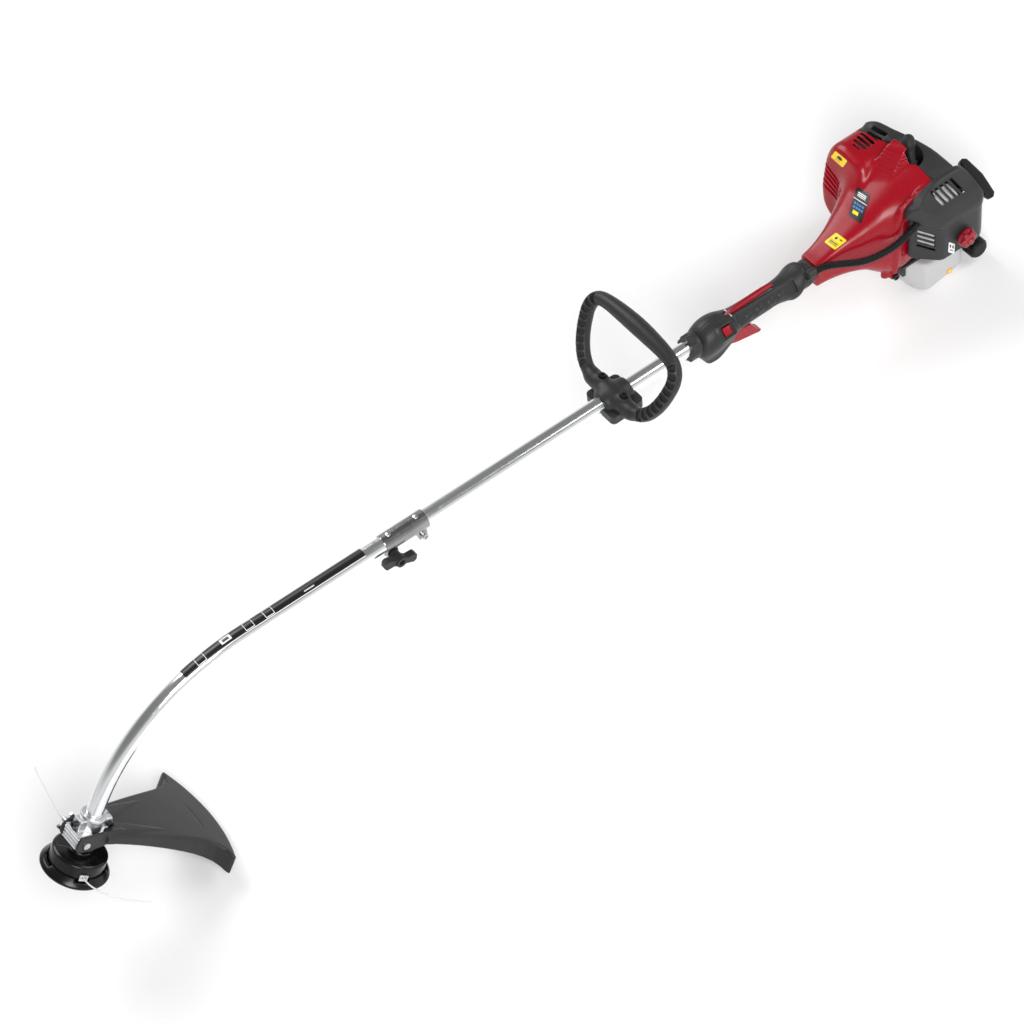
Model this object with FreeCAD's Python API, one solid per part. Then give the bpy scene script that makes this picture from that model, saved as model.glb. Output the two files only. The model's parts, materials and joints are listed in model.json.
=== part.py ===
import FreeCAD, Part
import math
import os

V = FreeCAD.Vector

# A petrol string trimmer with a split, curved shaft.
# It is modelled in the shaft frame: X runs along the straight shaft towards the engine, Z is up in
# the plane of the bend, Y is the operator's right.  Millimetres.  One placement at the end pitches
# it onto the ground, where it lies on the fuel tank and the rear edge of the guard.

# Shaft
TUBE_R = 13.0
TUBE_BORE = 11.5
SLEEVE_R = 14.7
SLEEVE_BORE = 13.05
SLEEVE_LOW = -168.0
SLEEVE_HIGH = -93.0
UPPER_START = -128.0
LOWER_START = -130.0
CLAMP_AXIS_Z = -23.0
KNOB_X = -157.0
CLAMP_BOLT_X = -103.0
BEND_START = -413.75
BEND_R = 328.0
BEND_DEG = 57.86
TAIL = 44.0
DRIVE_R = 4.0
FLEX_R = 2.75
RUN_GAP = 0.05

# Loop handle
LOOP_X = 250.0
LOOP_LEAN = 28.0
LOOP_R = 10.5
LOOP_TOP = 127.0
LOOP_TOP_HALF = 121.0
LOOP_BOTTOM = 10.0
LOOP_BOTTOM_HALF = 70.0
LOOP_SCREW_X = 258.0
LOOP_SCREW_Y = 26.0

# Rear grip
RING_LOW = 392.0
GRIP_LOW = 411.0
GRIP_HIGH = 613.0
COLLAR_HIGH = 629.0
COLLAR_SCREW_X = 621.0
TRIGGER_PIVOT = (452.0, -24.0)
TRIGGER_HALF = 7.0
LEVER_PIVOT = (477.0, 20.0)
LEVER_HALF = 4.5
SWITCH_X = 457.0
SWITCH_TILT = 33.0

# Engine, all round the crank axis, which is the shaft axis
NOSE_X = 635.0
SHROUD_BACK = 829.0
COVER_SPLIT_Y = -62.5
WALL = 2.5
FLYWHEEL_R = 50.0
CYLINDER_X = 812.0
CRANK_THROW = 15.0
TANK_LOW_X = 786.0
TANK_HIGH_X = 918.0
TANK_NEAR = -70.0
TANK_FAR = 50.0
NECK_FACE = -54.0
TANK_TOP = -62.0
CAP_X = 903.0
CAP_Z = -76.0
PLUG_Y = 9.0
PULLEY_R = 30.0
PULL_Y = -57.0
PULL_Z = 33.0
PULL_START = 866.0
HANDLE_X = 916.0
HANDLE_TILT = 33.0
PULL_TILT = 12.0
KNOB_Z = 5.0
COVER_KNOB_X = 854.0
LUG_X = 766.0
LUG_Z = -70.0
REST_PITCH = 10.5

# Cutting head, measured down the neck from the end of the bend
COVER_R = 42.0
FLANGE_LEVEL = 122.0
FLANGE_R = 52.4
LINE_LEVEL = 108.0
LINE_R = 1.2
LINE_ANGLE = 68.0
GUARD_R = 239.0
GUARD_HALF = 105.0
GUARD_BOLT_R = -20.0
GUARD_BOLT_LEVEL = 57.0
EAR_FAR = 15.5


# ---- shapes ----

def box(x, y, z):
    """Box from three (low, high) pairs."""
    return Part.makeBox(x[1] - x[0], y[1] - y[0], z[1] - z[0], V(x[0], y[0], z[0]))


def rod(start, direction, radius, length):
    return Part.makeCylinder(radius, length, V(*start), V(*direction))


def rod_x(low, high, radius, y=0.0, z=0.0):
    return rod((low, y, z), (1, 0, 0), radius, high - low)


def rod_y(low, high, radius, x, z):
    return rod((x, low, z), (0, 1, 0), radius, high - low)


def rod_z(low, high, radius, x=0.0, y=0.0):
    return rod((x, y, low), (0, 0, 1), radius, high - low)


def ring_x(low, high, outer, inner, y=0.0, z=0.0):
    return rod_x(low, high, outer, y, z).cut(rod_x(low - 1, high + 1, inner, y, z))


def ring_z(low, high, outer, inner):
    return rod_z(low, high, outer).cut(rod_z(low - 1, high + 1, inner))


def at_plane(plane, a, b, depth):
    """The point (a, b) of a drawing plane, at a depth along its normal."""
    return {"xy": V(a, b, depth), "xz": V(a, depth, b), "yz": V(depth, a, b)}[plane]


def prism(plane, outline, low, high):
    """A polygon in the xy, xz or yz plane, extruded along the third axis."""
    points = [at_plane(plane, a, b, low) for a, b in outline]
    face = Part.Face(Part.makePolygon(points + points[:1]))
    return face.extrude(at_plane(plane, 0, 0, high - low))


def turned(axis, profile):
    """Solid of revolution; the profile lists (distance along the axis, radius)."""
    if axis == "x":
        points = [V(a, 0, r) for a, r in profile]
        direction = V(1, 0, 0)
    elif axis == "y":
        points = [V(r, a, 0) for a, r in profile]
        direction = V(0, 1, 0)
    else:
        points = [V(r, 0, a) for a, r in profile]
        direction = V(0, 0, 1)
    face = Part.Face(Part.makePolygon(points + points[:1]))
    return face.revolve(V(0, 0, 0), direction, 360)


def moved(shape, x=0.0, y=0.0, z=0.0):
    copy = shape.copy()
    copy.translate(V(x, y, z))
    return copy


def turned_by(shape, centre, axis, degrees):
    copy = shape.copy()
    copy.rotate(V(*centre), V(*axis), degrees)
    return copy


def fused(first, *others):
    result = first
    for other in others:
        result = result.fuse(other)
    return result.removeSplitter()


def cut(first, *others):
    result = first
    for other in others:
        result = result.cut(other)
    return result


def group(*solids):
    """Separate solids kept in one node."""
    return Part.makeCompound([solid for shape in solids for solid in shape.Solids])


def route(points, radii):
    """Straight runs joined by tangent arcs; radii are for the inner points."""
    edges = []
    start = points[0]
    for before, corner, after, radius in zip(points, points[1:], points[2:], radii, strict=False):
        arrive = (corner - before).normalize()
        leave = (after - corner).normalize()
        turn = arrive.getAngle(leave)
        reach = radius * math.tan(turn / 2)
        first = corner - arrive * reach
        last = corner + leave * reach
        inward = (leave - arrive).normalize()
        middle = corner + inward * (radius / math.cos(turn / 2) - radius)
        edges.append(Part.LineSegment(start, first).toShape())
        edges.append(Part.Arc(first, middle, last).toShape())
        start = last
    edges.append(Part.LineSegment(start, points[-1]).toShape())
    return Part.Wire(edges)


def tube_along(path, radius):
    """Round bar of one radius along a route."""
    first = path.Edges[0]
    tangent = first.tangentAt(first.FirstParameter)
    circle = Part.Wire(Part.makeCircle(radius, path.Vertexes[0].Point, tangent))
    return path.makePipeShell([circle], True, False, 2)


def even_radii(points):
    """The largest arcs that the runs allow: 0.45 of the shorter run over tan(half the turn)."""
    radii = []
    for before, corner, after in zip(points, points[1:], points[2:], strict=False):
        turn = (corner - before).getAngle(after - corner)
        shorter = min((corner - before).Length, (after - corner).Length)
        radii.append(0.45 * shorter / math.tan(turn / 2))
    return radii


def cord(name, points, radius):
    """A cord's tube, with its radii and volume printed."""
    radii = even_radii(points)
    path = route(points, radii)
    solid = tube_along(path, radius)
    ratio = solid.Volume / (math.pi * radius ** 2 * path.Length)
    print(name, "radii", [round(r, 1) for r in radii], "length", round(path.Length, 1),
          "volume over section times length", round(ratio, 4))
    return solid


# ---- frames ----

def in_head(shape):
    """From the head's own frame, Z up the neck and X to the rear, to the shaft frame."""
    copy = turned_by(shape, (0, 0, 0), (0, 1, 0), 90 - BEND_DEG)
    bend = math.radians(BEND_DEG)
    copy.translate(V(BEND_START - BEND_R * math.sin(bend), 0, -BEND_R * (1 - math.cos(bend))))
    return copy


def in_loop(y, up):
    """A point of the loop handle's leaning plane."""
    lean = math.radians(LOOP_LEAN)
    return V(LOOP_X + up * math.sin(lean), y, up * math.cos(lean))


# ---- shaft ----

def bent_bar(start, tail, radius):
    """Round bar along the lower shaft's centre line, from x = start to tail past the bend."""
    bend = math.radians(BEND_DEG)
    end = V(BEND_START - BEND_R * math.sin(bend), 0, -BEND_R * (1 - math.cos(bend)))
    heading = V(-math.cos(bend), 0, -math.sin(bend))
    disc = Part.Face(Part.Wire(Part.makeCircle(radius, V(BEND_START, 0, 0), V(1, 0, 0))))
    elbow = disc.revolve(V(BEND_START, 0, -BEND_R), V(0, 1, 0), -BEND_DEG)
    straight = rod_x(BEND_START, start, radius)
    last = Part.makeCylinder(radius, tail, end, heading)
    return straight.fuse(elbow).fuse(last)


def lower_tube():
    return bent_bar(LOWER_START, TAIL, TUBE_R).cut(bent_bar(LOWER_START + 1, TAIL + 1, TUBE_BORE))


def upper_tube():
    return ring_x(UPPER_START, 702.0, TUBE_R, TUBE_BORE)


def clamp_ears(low, high):
    """A pair of ears under the sleeve, slit down the middle, with a cross hole."""
    ears = box((low, high), (-8, 8), (-30, -12))
    slit = box((low - 2, high + 16), (-1.5, 1.5), (-31, -12))
    hole = rod_y(-9, 9, 3.0, (low + high) / 2, CLAMP_AXIS_Z)
    return ears, slit, hole


def coupler_sleeve():
    low_ears, low_slit, low_hole = clamp_ears(KNOB_X - 9, KNOB_X + 9)
    high_ears, high_slit, high_hole = clamp_ears(CLAMP_BOLT_X - 7, CLAMP_BOLT_X + 7)
    body = fused(rod_x(SLEEVE_LOW, SLEEVE_HIGH, SLEEVE_R), low_ears, high_ears)
    rivets = [rod_z(12, 17, 2.6, x) for x in (SLEEVE_LOW + 12, SLEEVE_HIGH - 14)]
    low_slit = moved(low_slit, -1)
    return cut(body, rod_x(-175, -85, SLEEVE_BORE), low_slit, moved(high_slit, 2), low_hole,
               high_hole, *rivets)


def coupler_bolt():
    """The upper clamp's socket screw, with the nuts of both clamps."""
    shank = rod_y(-8, 14, 2.9, CLAMP_BOLT_X, CLAMP_AXIS_Z)
    head = rod_y(-15, -8, 5.0, CLAMP_BOLT_X, CLAMP_AXIS_Z)
    socket = hexagon("y", 2.5, -15.5, -11, CLAMP_BOLT_X, CLAMP_AXIS_Z)
    nuts = []
    for x, bore in ((CLAMP_BOLT_X, 2.9), (KNOB_X, 3.0)):
        nut = hexagon("y", 5.0, 8, 13, x, CLAMP_AXIS_Z)
        nuts.append(nut.cut(rod_y(7, 14, bore, x, CLAMP_AXIS_Z)))
    return group(fused(shank, head).cut(socket), *nuts)


def hexagon(axis, across, low, high, first, second):
    """Hexagonal bar along x, y or z; across is half the width across the flats."""
    corner = across / math.cos(math.radians(30))
    outline = [(first + corner * math.cos(math.radians(60 * i + 30)),
                second + corner * math.sin(math.radians(60 * i + 30))) for i in range(6)]
    plane = {"x": "yz", "y": "xz", "z": "xy"}[axis]
    return prism(plane, outline, low, high)


def coupler_rivets():
    """Rivets seated in the sleeve's top, domed above it."""
    rivets = []
    for x in (SLEEVE_LOW + 12, SLEEVE_HIGH - 14):
        dome = turned("z", [(13.1, 0), (13.1, 2.6), (14.9, 2.6), (14.9, 4.2), (15.6, 3.6), (16.2, 0)])
        rivets.append(moved(dome, x).cut(rod_x(-175, -85, SLEEVE_BORE)))
    return group(*rivets)


def wing_knob():
    """Two-winged knob on the lower clamp's screw."""
    hub = rod_y(-30, -8.6, 8.5, 0, 0)
    wing = [(-4, -8), (10, -7.5), (24, -10.5), (28, -7), (28, 2), (24, 5), (12, 3), (2, 8)]
    opposite = [(-x, -z) for x, z in wing]
    wings = fused(prism("xz", wing, -28, -17), prism("xz", opposite, -28, -17))
    screw = rod_y(-9, 16, 2.9, 0, 0)
    knob = fused(hub, wings).cut(hexagon("y", 4.5, -31, -24, 0, 0))
    knob = fused(turned_by(knob, (0, 0, 0), (0, 1, 0), 14), screw)
    return moved(knob, KNOB_X, 0, CLAMP_AXIS_Z)


def shaft_bushes():
    bushes = [ring_x(x, x + 18, TUBE_BORE, DRIVE_R + RUN_GAP) for x in (-96, 80, 256, 432, 608)]
    return group(*bushes)


def drive_shaft():
    """Solid drive shaft, with a socket at its lower end and a flange at the clutch drum."""
    socket = rod_x(-124, -100, 7.0).cut(box((-125, -108), (-3.1, 3.1), (-3.1, 3.1)))
    return fused(rod_x(-104, 712, DRIVE_R), socket)


def flex_shaft():
    """Wire-wound drive cable in the curved tube, from the drive shaft's socket to the head."""
    return bent_bar(-111, 60.0, FLEX_R)


# ---- loop handle ----

def half_loop(side):
    """One half of the closed loop, cut at the middle of both bars."""
    corners = [in_loop(0, LOOP_BOTTOM), in_loop(side * LOOP_BOTTOM_HALF, LOOP_BOTTOM),
               in_loop(side * LOOP_TOP_HALF, LOOP_TOP), in_loop(0, LOOP_TOP)]
    return tube_along(route(corners, [42.0, 26.0]), LOOP_R)


def loop_handle():
    saddle = box((226, 290), (-38, 38), (1.0, 23))
    saddle = saddle.makeFillet(9.0, [e for e in saddle.Edges if abs(e.CenterOfMass.z - 12) < 1])
    shape = fused(half_loop(1), half_loop(-1), saddle)
    below = box((180, 330), (-60, 60), (-40, 1.0))
    bores = [rod_z(-5, 30, 2.6, LOOP_SCREW_X, y) for y in (-LOOP_SCREW_Y, LOOP_SCREW_Y)]
    seats = [rod_z(20.5, 40, 5.3, LOOP_SCREW_X, y) for y in (-LOOP_SCREW_Y, LOOP_SCREW_Y)]
    return cut(shape, rod_x(180, 400, SLEEVE_BORE), below, *bores, *seats)


def loop_cap():
    """Lower half of the clamp."""
    cap = box((228, 288), (-34, 34), (-19, -1.0))
    cap = cap.makeFillet(8.0, [e for e in cap.Edges if abs(e.CenterOfMass.z + 10) < 1])
    cap = cap.makeFillet(4.0, [e for e in cap.Edges if abs(e.BoundBox.ZMax + 19) < 0.1])
    bores = [rod_z(-25, 5, 2.5, LOOP_SCREW_X, y) for y in (-LOOP_SCREW_Y, LOOP_SCREW_Y)]
    return cut(cap, rod_x(180, 330, SLEEVE_BORE), *bores)


def loop_screws():
    screws = []
    for y in (-LOOP_SCREW_Y, LOOP_SCREW_Y):
        shank = rod_z(-16, 20.5, 2.5, LOOP_SCREW_X, y)
        head = rod_z(20.5, 25.5, 4.6, LOOP_SCREW_X, y)
        socket = hexagon("z", 2.1, 23, 26, LOOP_SCREW_X, y)
        screws.append(fused(shank, head).cut(socket))
    return group(*screws)


# ---- rear grip ----

def grip_skin(shrink):
    """The grip's outer form, or its cavity when shrunk."""
    profile = [(GRIP_LOW, 0), (GRIP_LOW, 16), (419, 25), (434, 29), (453, 27.5), (476, 20.5),
               (500, 18.6), (574, 18.6), (592, 23.5), (603, 24.5), (GRIP_HIGH, 17), (GRIP_HIGH, 0)]
    inside = [(x, max(r - shrink, 0)) for x, r in profile]
    round_part = turned("x", inside)
    s = shrink
    heel = prism("xz", [(426 + s, 0), (426 + s, -30 + s), (436, -39 + s), (452, -40 + s),
                        (470 - s, -30 + s), (474 - s, 0)], -17 + s, 17 - s)
    return fused(round_part, heel)


def grip_openings():
    """Slots for the trigger, the lever and the stop switch."""
    trigger_slot = box((442, 521), (-TRIGGER_HALF - 0.6, TRIGGER_HALF + 0.6), (-60, 0))
    lever_slot = box((468, 565), (-LEVER_HALF - 0.5, LEVER_HALF + 0.5), (0, 40))
    pocket = turned_by(box((-8, 8), (-40, -13.3), (-8, 8)), (0, 0, 0), (1, 0, 0), -SWITCH_TILT)
    return trigger_slot, lever_slot, moved(pocket, SWITCH_X)


def grip_half(side):
    shell = grip_skin(0)
    bore = rod_x(400, 640, TUBE_R)
    room = fused(rod_x(432, 468, 23.0), box((432, 466), (-12, 12), (-35, 0)))
    spine = box((431, 434), (-20, 20), (-30, 30))
    half = box((400, 640), (0, 60), (-80, 60)) if side > 0 else box((400, 640), (-60, 0), (-80, 60))
    pins = grip_pins()
    return cut(shell.common(half), bore, room.cut(spine), *grip_openings(), pins)


def grip_pins():
    """Cross pins for the trigger and the lever."""
    trigger = rod_y(-16, 16, 2.0, *TRIGGER_PIVOT)
    lever = rod_y(-9, 9, 1.6, *LEVER_PIVOT)
    return group(trigger, lever)


def grip_front_ring():
    """Notched clamp ring ahead of the grip."""
    ring = ring_x(RING_LOW, GRIP_LOW, 21.0, TUBE_R)
    notches = [turned_by(box((RING_LOW - 1, GRIP_LOW - 5), (-2.2, 2.2), (18.2, 24)), (0, 0, 0),
                         (1, 0, 0), 45 * i) for i in range(8)]
    return cut(ring, *notches)


def grip_rear_collar():
    """Clamp collar behind the grip, which also holds the throttle conduit."""
    collar = rod_x(GRIP_HIGH, COLLAR_HIGH, 19.0)
    lug = box((GRIP_HIGH, COLLAR_HIGH), (-9, 9), (-27, -13))
    ferrule = fused(rod_x(GRIP_HIGH + 2, COLLAR_HIGH + 2, 7.5, -21, 19),
                    box((GRIP_HIGH + 2, COLLAR_HIGH), (-22, -8), (8, 20)))
    slit = box((GRIP_HIGH - 1, COLLAR_HIGH + 1), (-1.5, 1.5), (-30, -10))
    hole = rod_y(-10, 10, 2.0, COLLAR_SCREW_X, -22)
    return cut(fused(collar, lug, ferrule), rod_x(600, 650, TUBE_R), slit, hole)


def grip_screw():
    """Cross screw of the rear collar."""
    return fused(rod_y(-9, 9, 2.0, COLLAR_SCREW_X, -22), rod_y(9, 12, 3.8, COLLAR_SCREW_X, -22))


def throttle_trigger():
    outline = [(445, -17), (468, -18), (514, -27.5), (519, -36), (525, -45), (533, -53), (529, -55),
               (486, -46), (462, -37), (446, -31)]
    blade = prism("xz", outline, -TRIGGER_HALF, TRIGGER_HALF)
    hollow = prism("xz", [(474, -26), (512, -33), (519, -45), (480, -39)], -4.5, TRIGGER_HALF + 1)
    return cut(blade, hollow, rod_y(-20, 20, 2.0 + RUN_GAP, *TRIGGER_PIVOT))


def lockout_lever():
    outline = [(470, 15.5), (482, 15.0), (562, 20.5), (562, 25), (558, 27.5), (480, 26.0), (470, 23.5)]
    bar = prism("xz", outline, -LEVER_HALF, LEVER_HALF)
    return bar.cut(rod_y(-20, 20, 1.6 + RUN_GAP, *LEVER_PIVOT))


def stop_switch():
    """Rocker in its pocket on the grip's near side, made flat and then tilted."""
    outline = [(-27.5, -6.8), (-14, -5), (-14, 5), (-27.5, 6.8), (-26.2, 0)]
    rocker = prism("yz", outline, -6.8, 6.8)
    rocker = turned_by(rocker, (0, 0, 0), (1, 0, 0), -SWITCH_TILT)
    return moved(rocker, SWITCH_X)


def throttle_conduit():
    """Corrugated conduit from the collar, past the shroud's neck, into the carburettor cover."""
    points = [V(626, -21, 19), V(644, -22.5, 20.5), V(666, -37, 21), V(696, -57, 20), V(730, -71, 30),
              V(760, -78.5, 46), V(784, -79, 62)]
    return cord("throttle_conduit", points, 5.4)


# ---- engine ----

def shroud_section(x, near, far, low, high, gap):
    """Octagonal section of the shroud at one station."""
    near, far, low, high = near + gap, far - gap, low + gap, high - gap
    corner = 0.24 * (far - near)
    outline = [(near, low + corner), (near + corner, low), (far - corner, low), (far, low + corner),
               (far, high - corner), (far - corner, high), (near + corner, high), (near, high - corner)]
    points = [V(x, a, b) for a, b in outline]
    return Part.makePolygon(points + points[:1])


def shroud_form(gap):
    """The engine shroud's outer form, or its inside when gap is the wall."""
    g = gap
    stations = [(NOSE_X - g, -19, 19, -24, 20), (680 + g, -26, 26, -28, 36), (716 + g, -40, 40, -36, 54),
                (750 + g, -57, 58, -64, 84), (776 + g, -62, 60, -70, 102), (796 + g, -62, 60, -66, 114),
                (SHROUD_BACK + g, -62, 60, -58, 114)]
    front = Part.makeLoft([shroud_section(*station, g) for station in stations], True, True)
    block = prism("yz", [(26, 112 - g), (46, 119 - g), (90 - g, 119 - g), (106 - g, 98 - g),
                         (108 - g, 10 + g), (88, -18 + g), (26, -28 + g)], 752 + g, 838)
    bevel = prism("xz", [(740, 60), (752 + g, 90 - g), (776 + g, 119 - g), (740, 140)], 20, 120)
    scoop = prism("xz", [(764 + g, 60), (786 + g, 116 - g), (797 + g, 132 - g), (826, 130 - g), (826, 60)],
                  -4 + g, 38 - g)
    return fused(front, block.cut(bevel), scoop)


def engine_shroud():
    """Fan housing, neck and muffler guard in one moulding, open to the rear."""
    shell = shroud_form(0).cut(shroud_form(WALL))
    open_back = box((SHROUD_BACK, 900), (-140, 160), (-140, 200))
    tank_relief = fused(box((770, 850), (-80, 80), (-90, -56)), box((790, 850), (-80, 80), (-60, -46)))
    carburettor_gap = box((788, 850), (-70, -50), (-30, 92))
    boot_gap = box((822, 850), (-2, 18), (108, 160))
    louvres = [box((745, 760), (74, 100), (z, z + 4)) for z in (20, 31, 42, 53, 64)]
    top_slots = [box((x, x + 4), (56, 90), (90, 130)) for x in (781, 789, 797, 805)]
    tongue_gap = box((811.5, 850), (48, 94), (112, 125))
    outlet_gap = rod_y(90, 120, 9.0, 800, 40)
    tube_hole = rod_x(620, 665, 15.0)
    shell = largest(cut(shell, open_back, tank_relief, carburettor_gap, boot_gap, *louvres, *top_slots,
                        tongue_gap, outlet_gap, tube_hole))
    lug = box((LUG_X - 7, LUG_X + 7), (-46, -34), (LUG_Z - 7, -50)).cut(shroud_form(WALL / 2))
    return largest(fused(shell, largest(lug)).cut(rod_y(-60, -30, 3.0, LUG_X, LUG_Z)))


def largest(shape):
    return max(shape.Solids, key=lambda solid: solid.Volume)


def clutch_housing():
    """Cast hub inside the shroud's nose that clamps the shaft and carries the drum's bearing."""
    hub = turned("x", [(654, 0), (654, 16), (684, 16), (700, 28.5), (728, 28.5), (728, 0)])
    room = turned("x", [(703, 0), (703, 26.5), (730, 26.5), (730, 0)])
    return cut(hub, room, rod_x(640, 702.0, TUBE_R), rod_x(690, 726, 12.0))


def clutch_drum():
    cup = turned("x", [(706, 0), (706, 25.7), (730, 25.7), (730, 23.7), (709, 23.7), (709, 0)])
    boss = rod_x(702.5, 707, 10.0)
    return fused(cup, boss).cut(rod_x(690, 730, DRIVE_R))


def clutch_shoes():
    """Two centrifugal shoes on their hub, clear of the drum until they fly out."""
    disc = ring_x(713, 727, 22.8, 10.0)
    gaps = box((710, 730), (-3, 3), (-30, 30))
    hub = ring_x(713, 727, 9.5, 6.0)
    return group(disc.cut(gaps), fused(hub, box((716, 724), (-2.5, 2.5), (9, 14)),
                                       box((716, 724), (-2.5, 2.5), (-14, -9))).cut(rod_x(700, 730, 6.0)))


def flywheel():
    disc = rod_x(748, 755, FLYWHEEL_R)
    hub = rod_x(740, 764, 12.0)
    blades = [turned_by(box((755, 765), (14, 48), (-1.2, 1.2)), (0, 0, 0), (1, 0, 0), 360 / 14 * i)
              for i in range(14)]
    return fused(disc, hub, *blades).cut(rod_x(730, 765, 8.0))


def crankshaft():
    """Journals, two webs and the crank pin, at top dead centre."""
    front = fused(rod_x(713, 768, 6.0), rod_x(736, 792, 8.0))
    rear = fused(rod_x(832, 850, 8.0), rod_x(850, 860, 6.0))
    webs = [rod_x(792, 802, 25.0), rod_x(822, 832, 25.0)]
    pin = rod_x(802, 822, 5.0, 0, CRANK_THROW)
    return fused(front, rear, *webs, pin)


def crankcase():
    outer = fused(rod_x(770, 846, 34.0), box((782, 842), (-38, 38), (-44, 20)),
                  box((782, 842), (-30, 30), (0, 36)))
    chamber = rod_x(789, 835, 27.5)
    journal = rod_x(760, 860, 8.0 + RUN_GAP)
    throat = rod_z(0, 40, 17.5, CYLINDER_X)
    pockets = ring_x(766, 780, 30.0, 14.0)
    return cut(outer, chamber, journal, throat, pockets)


def cylinder():
    """Finned barrel and head, bored for the piston and threaded for the plug."""
    barrel = rod_z(36, 100, 23.0, CYLINDER_X)
    fins = []
    for i in range(8):
        z = 44 + 7.5 * i
        half = 33 if i > 4 else 30
        fins.append(box((CYLINDER_X - 27, CYLINDER_X + 27), (-half, half), (z, z + 2.2)))
    foot = box((CYLINDER_X - 27, CYLINDER_X + 27), (-28, 28), (36, 40))
    exhaust = box((CYLINDER_X - 12, CYLINDER_X + 12), (20, 44), (48, 68))
    intake = box((CYLINDER_X - 12, CYLINDER_X + 12), (-42, -20), (42, 62))
    body = fused(barrel, foot, exhaust, intake, *fins)
    port = rod_y(0, 50, 6.5, CYLINDER_X, 58)
    inlet = rod_y(-50, 0, 6.5, CYLINDER_X, 52)
    return cut(body, rod_z(30, 92, 17.0, CYLINDER_X), port, inlet,
               rod_z(90, 110, 5.0, CYLINDER_X, PLUG_Y))


def piston():
    """Piston at top dead centre, on its gudgeon pin."""
    body = rod_z(58, 88, 16.9, CYLINDER_X)
    hollow = rod_z(50, 83, 13.5, CYLINDER_X)
    pin = ring_y(-15.5, 15.5, 4.0, 2.5, CYLINDER_X, 68)
    rings = [ring_z(z, z + 1.2, 20, 16.2) for z in (80, 84)]
    crown = cut(body, hollow, *[moved(r, CYLINDER_X) for r in rings])
    return fused(crown.cut(rod_y(-20, 20, 4.0, CYLINDER_X, 68)), pin)


def ring_y(low, high, outer, inner, x, z):
    return rod_y(low, high, outer, x, z).cut(rod_y(low - 1, high + 1, inner, x, z))


def connecting_rod():
    """Rod below the gudgeon pin, stopped clear of the crank pin's circle."""
    eye = rod_x(CYLINDER_X - 5, CYLINDER_X + 5, 7.0, 0, 68)
    small_end = turned_by(eye, (CYLINDER_X, 0, 68), (0, 0, 1), 90)
    shank = box((CYLINDER_X - 3, CYLINDER_X + 3), (-4.5, 4.5), (21.5, 66))
    return fused(small_end, shank).cut(rod_y(-20, 20, 4.0 + RUN_GAP, CYLINDER_X, 68))


def muffler():
    """Pressed box silencer on the exhaust port, with a short outlet."""
    body = box((768, 824), (44, 98), (22, 98))
    body = body.makeFillet(9.0, body.Edges)
    inside = box((770, 822), (46, 96), (24, 96))
    inside = inside.makeFillet(7.0, inside.Edges)
    outlet = rod_y(96.5, 106, 7.0, 800, 40)
    return cut(fused(body, outlet), inside, rod_y(90, 110, 5.0, 800, 40), rod_y(40, 50, 6.5, CYLINDER_X, 58))


def carburettor():
    """Body on the inlet, with its bore, metering cover and fuel pipe."""
    body = fused(box((794, 828), (-74, -42), (34, 70)), box((798, 826), (-72, -44), (26, 78)))
    bore = rod_y(-80, -40, 6.5, CYLINDER_X, 52)
    spindle = rod_z(60, 86, 2.5, CYLINDER_X + 12, -58)
    pipe = rod_z(18, 30, 2.0, 804, -58)
    return cut(fused(body, spindle, pipe), bore)


def throttle_arm():
    """Lever on the carburettor's spindle that the cable pulls."""
    arm = prism("xy", [(-4, -4), (4, -5), (16, -3), (16, 3), (4, 5), (-4, 4)], 81, 83)
    arm = turned_by(arm, (0, 0, 0), (0, 0, 1), 200)
    hub = rod_z(79, 85, 5.0)
    return moved(fused(arm, hub).cut(rod_z(70, 90, 2.5 + RUN_GAP)), CYLINDER_X + 12, -58, 0)


def air_filter():
    """Foam pad in its tray against the carburettor."""
    tray = box((800, 872), (-80, -75), (6, 74))
    foam = box((812, 868), (-93, -80), (10, 70))
    return group(cut(tray, rod_y(-90, -60, 6.5, CYLINDER_X, 52)), foam.makeFillet(3.0, foam.Edges))


def side_cover_form(gap):
    g = gap
    top = 112 - g
    side = prism("xz", [(776 + g, -20 + g), (782 + g, -24 + g), (896 - g, -26 + g), (903 - g, -16),
                        (896 - g, 60), (876 - g, top - 6), (866 - g, top), (826, top), (800 + g, top - 8),
                        (779 + g, 62)], -108, COVER_SPLIT_Y)
    plan = prism("xy", [(776 + g, -50), (776 + g, -64), (812 + g, -105 + g), (888 - g, -105 + g),
                        (903 - g, -92), (903 - g, -50)], -40, 130)
    slope = prism("yz", [(-110, 200), (-110, 56 - g), (-105 + g, 56 - g), (-94, 82 - g), (-69, top),
                         (-50, top + 2), (-50, 200)], 760, 910)
    return side.common(plan).cut(slope)


def side_cover():
    """Faceted cover over the carburettor and the air filter, open to the engine."""
    shell = side_cover_form(0).cut(side_cover_form(WALL))
    vents = [turned_by(box((828 + 10 * i, 833 + 10 * i), (-90, -73), (70, 120)),
                       (828 + 10 * i, -80, 90), (0, 0, 1), -14) for i in range(5)]
    slots = [box((800, 815), (-100, -78), (z, z + 4)) for z in (-14, -5, 4, 13)]
    knob_hole = rod_y(-110, -90, 4.0, COVER_KNOB_X, KNOB_Z)
    return largest(cut(shell, *vents, *slots, knob_hole))


def cover_knob():
    """Six-lobed knob with its screw."""
    disc = rod_y(-121, -108, 13.0, 0, 0)
    lobes = [rod_y(-120, -110, 4.6, 12.0 * math.cos(math.radians(60 * i)),
                   12.0 * math.sin(math.radians(60 * i))) for i in range(6)]
    screw = fused(rod_y(-108, -105.3, 9.0, 0, 0), rod_y(-106, -92, 3.2, 0, 0))
    return moved(fused(disc, *lobes, screw), COVER_KNOB_X, 0, KNOB_Z)


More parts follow.
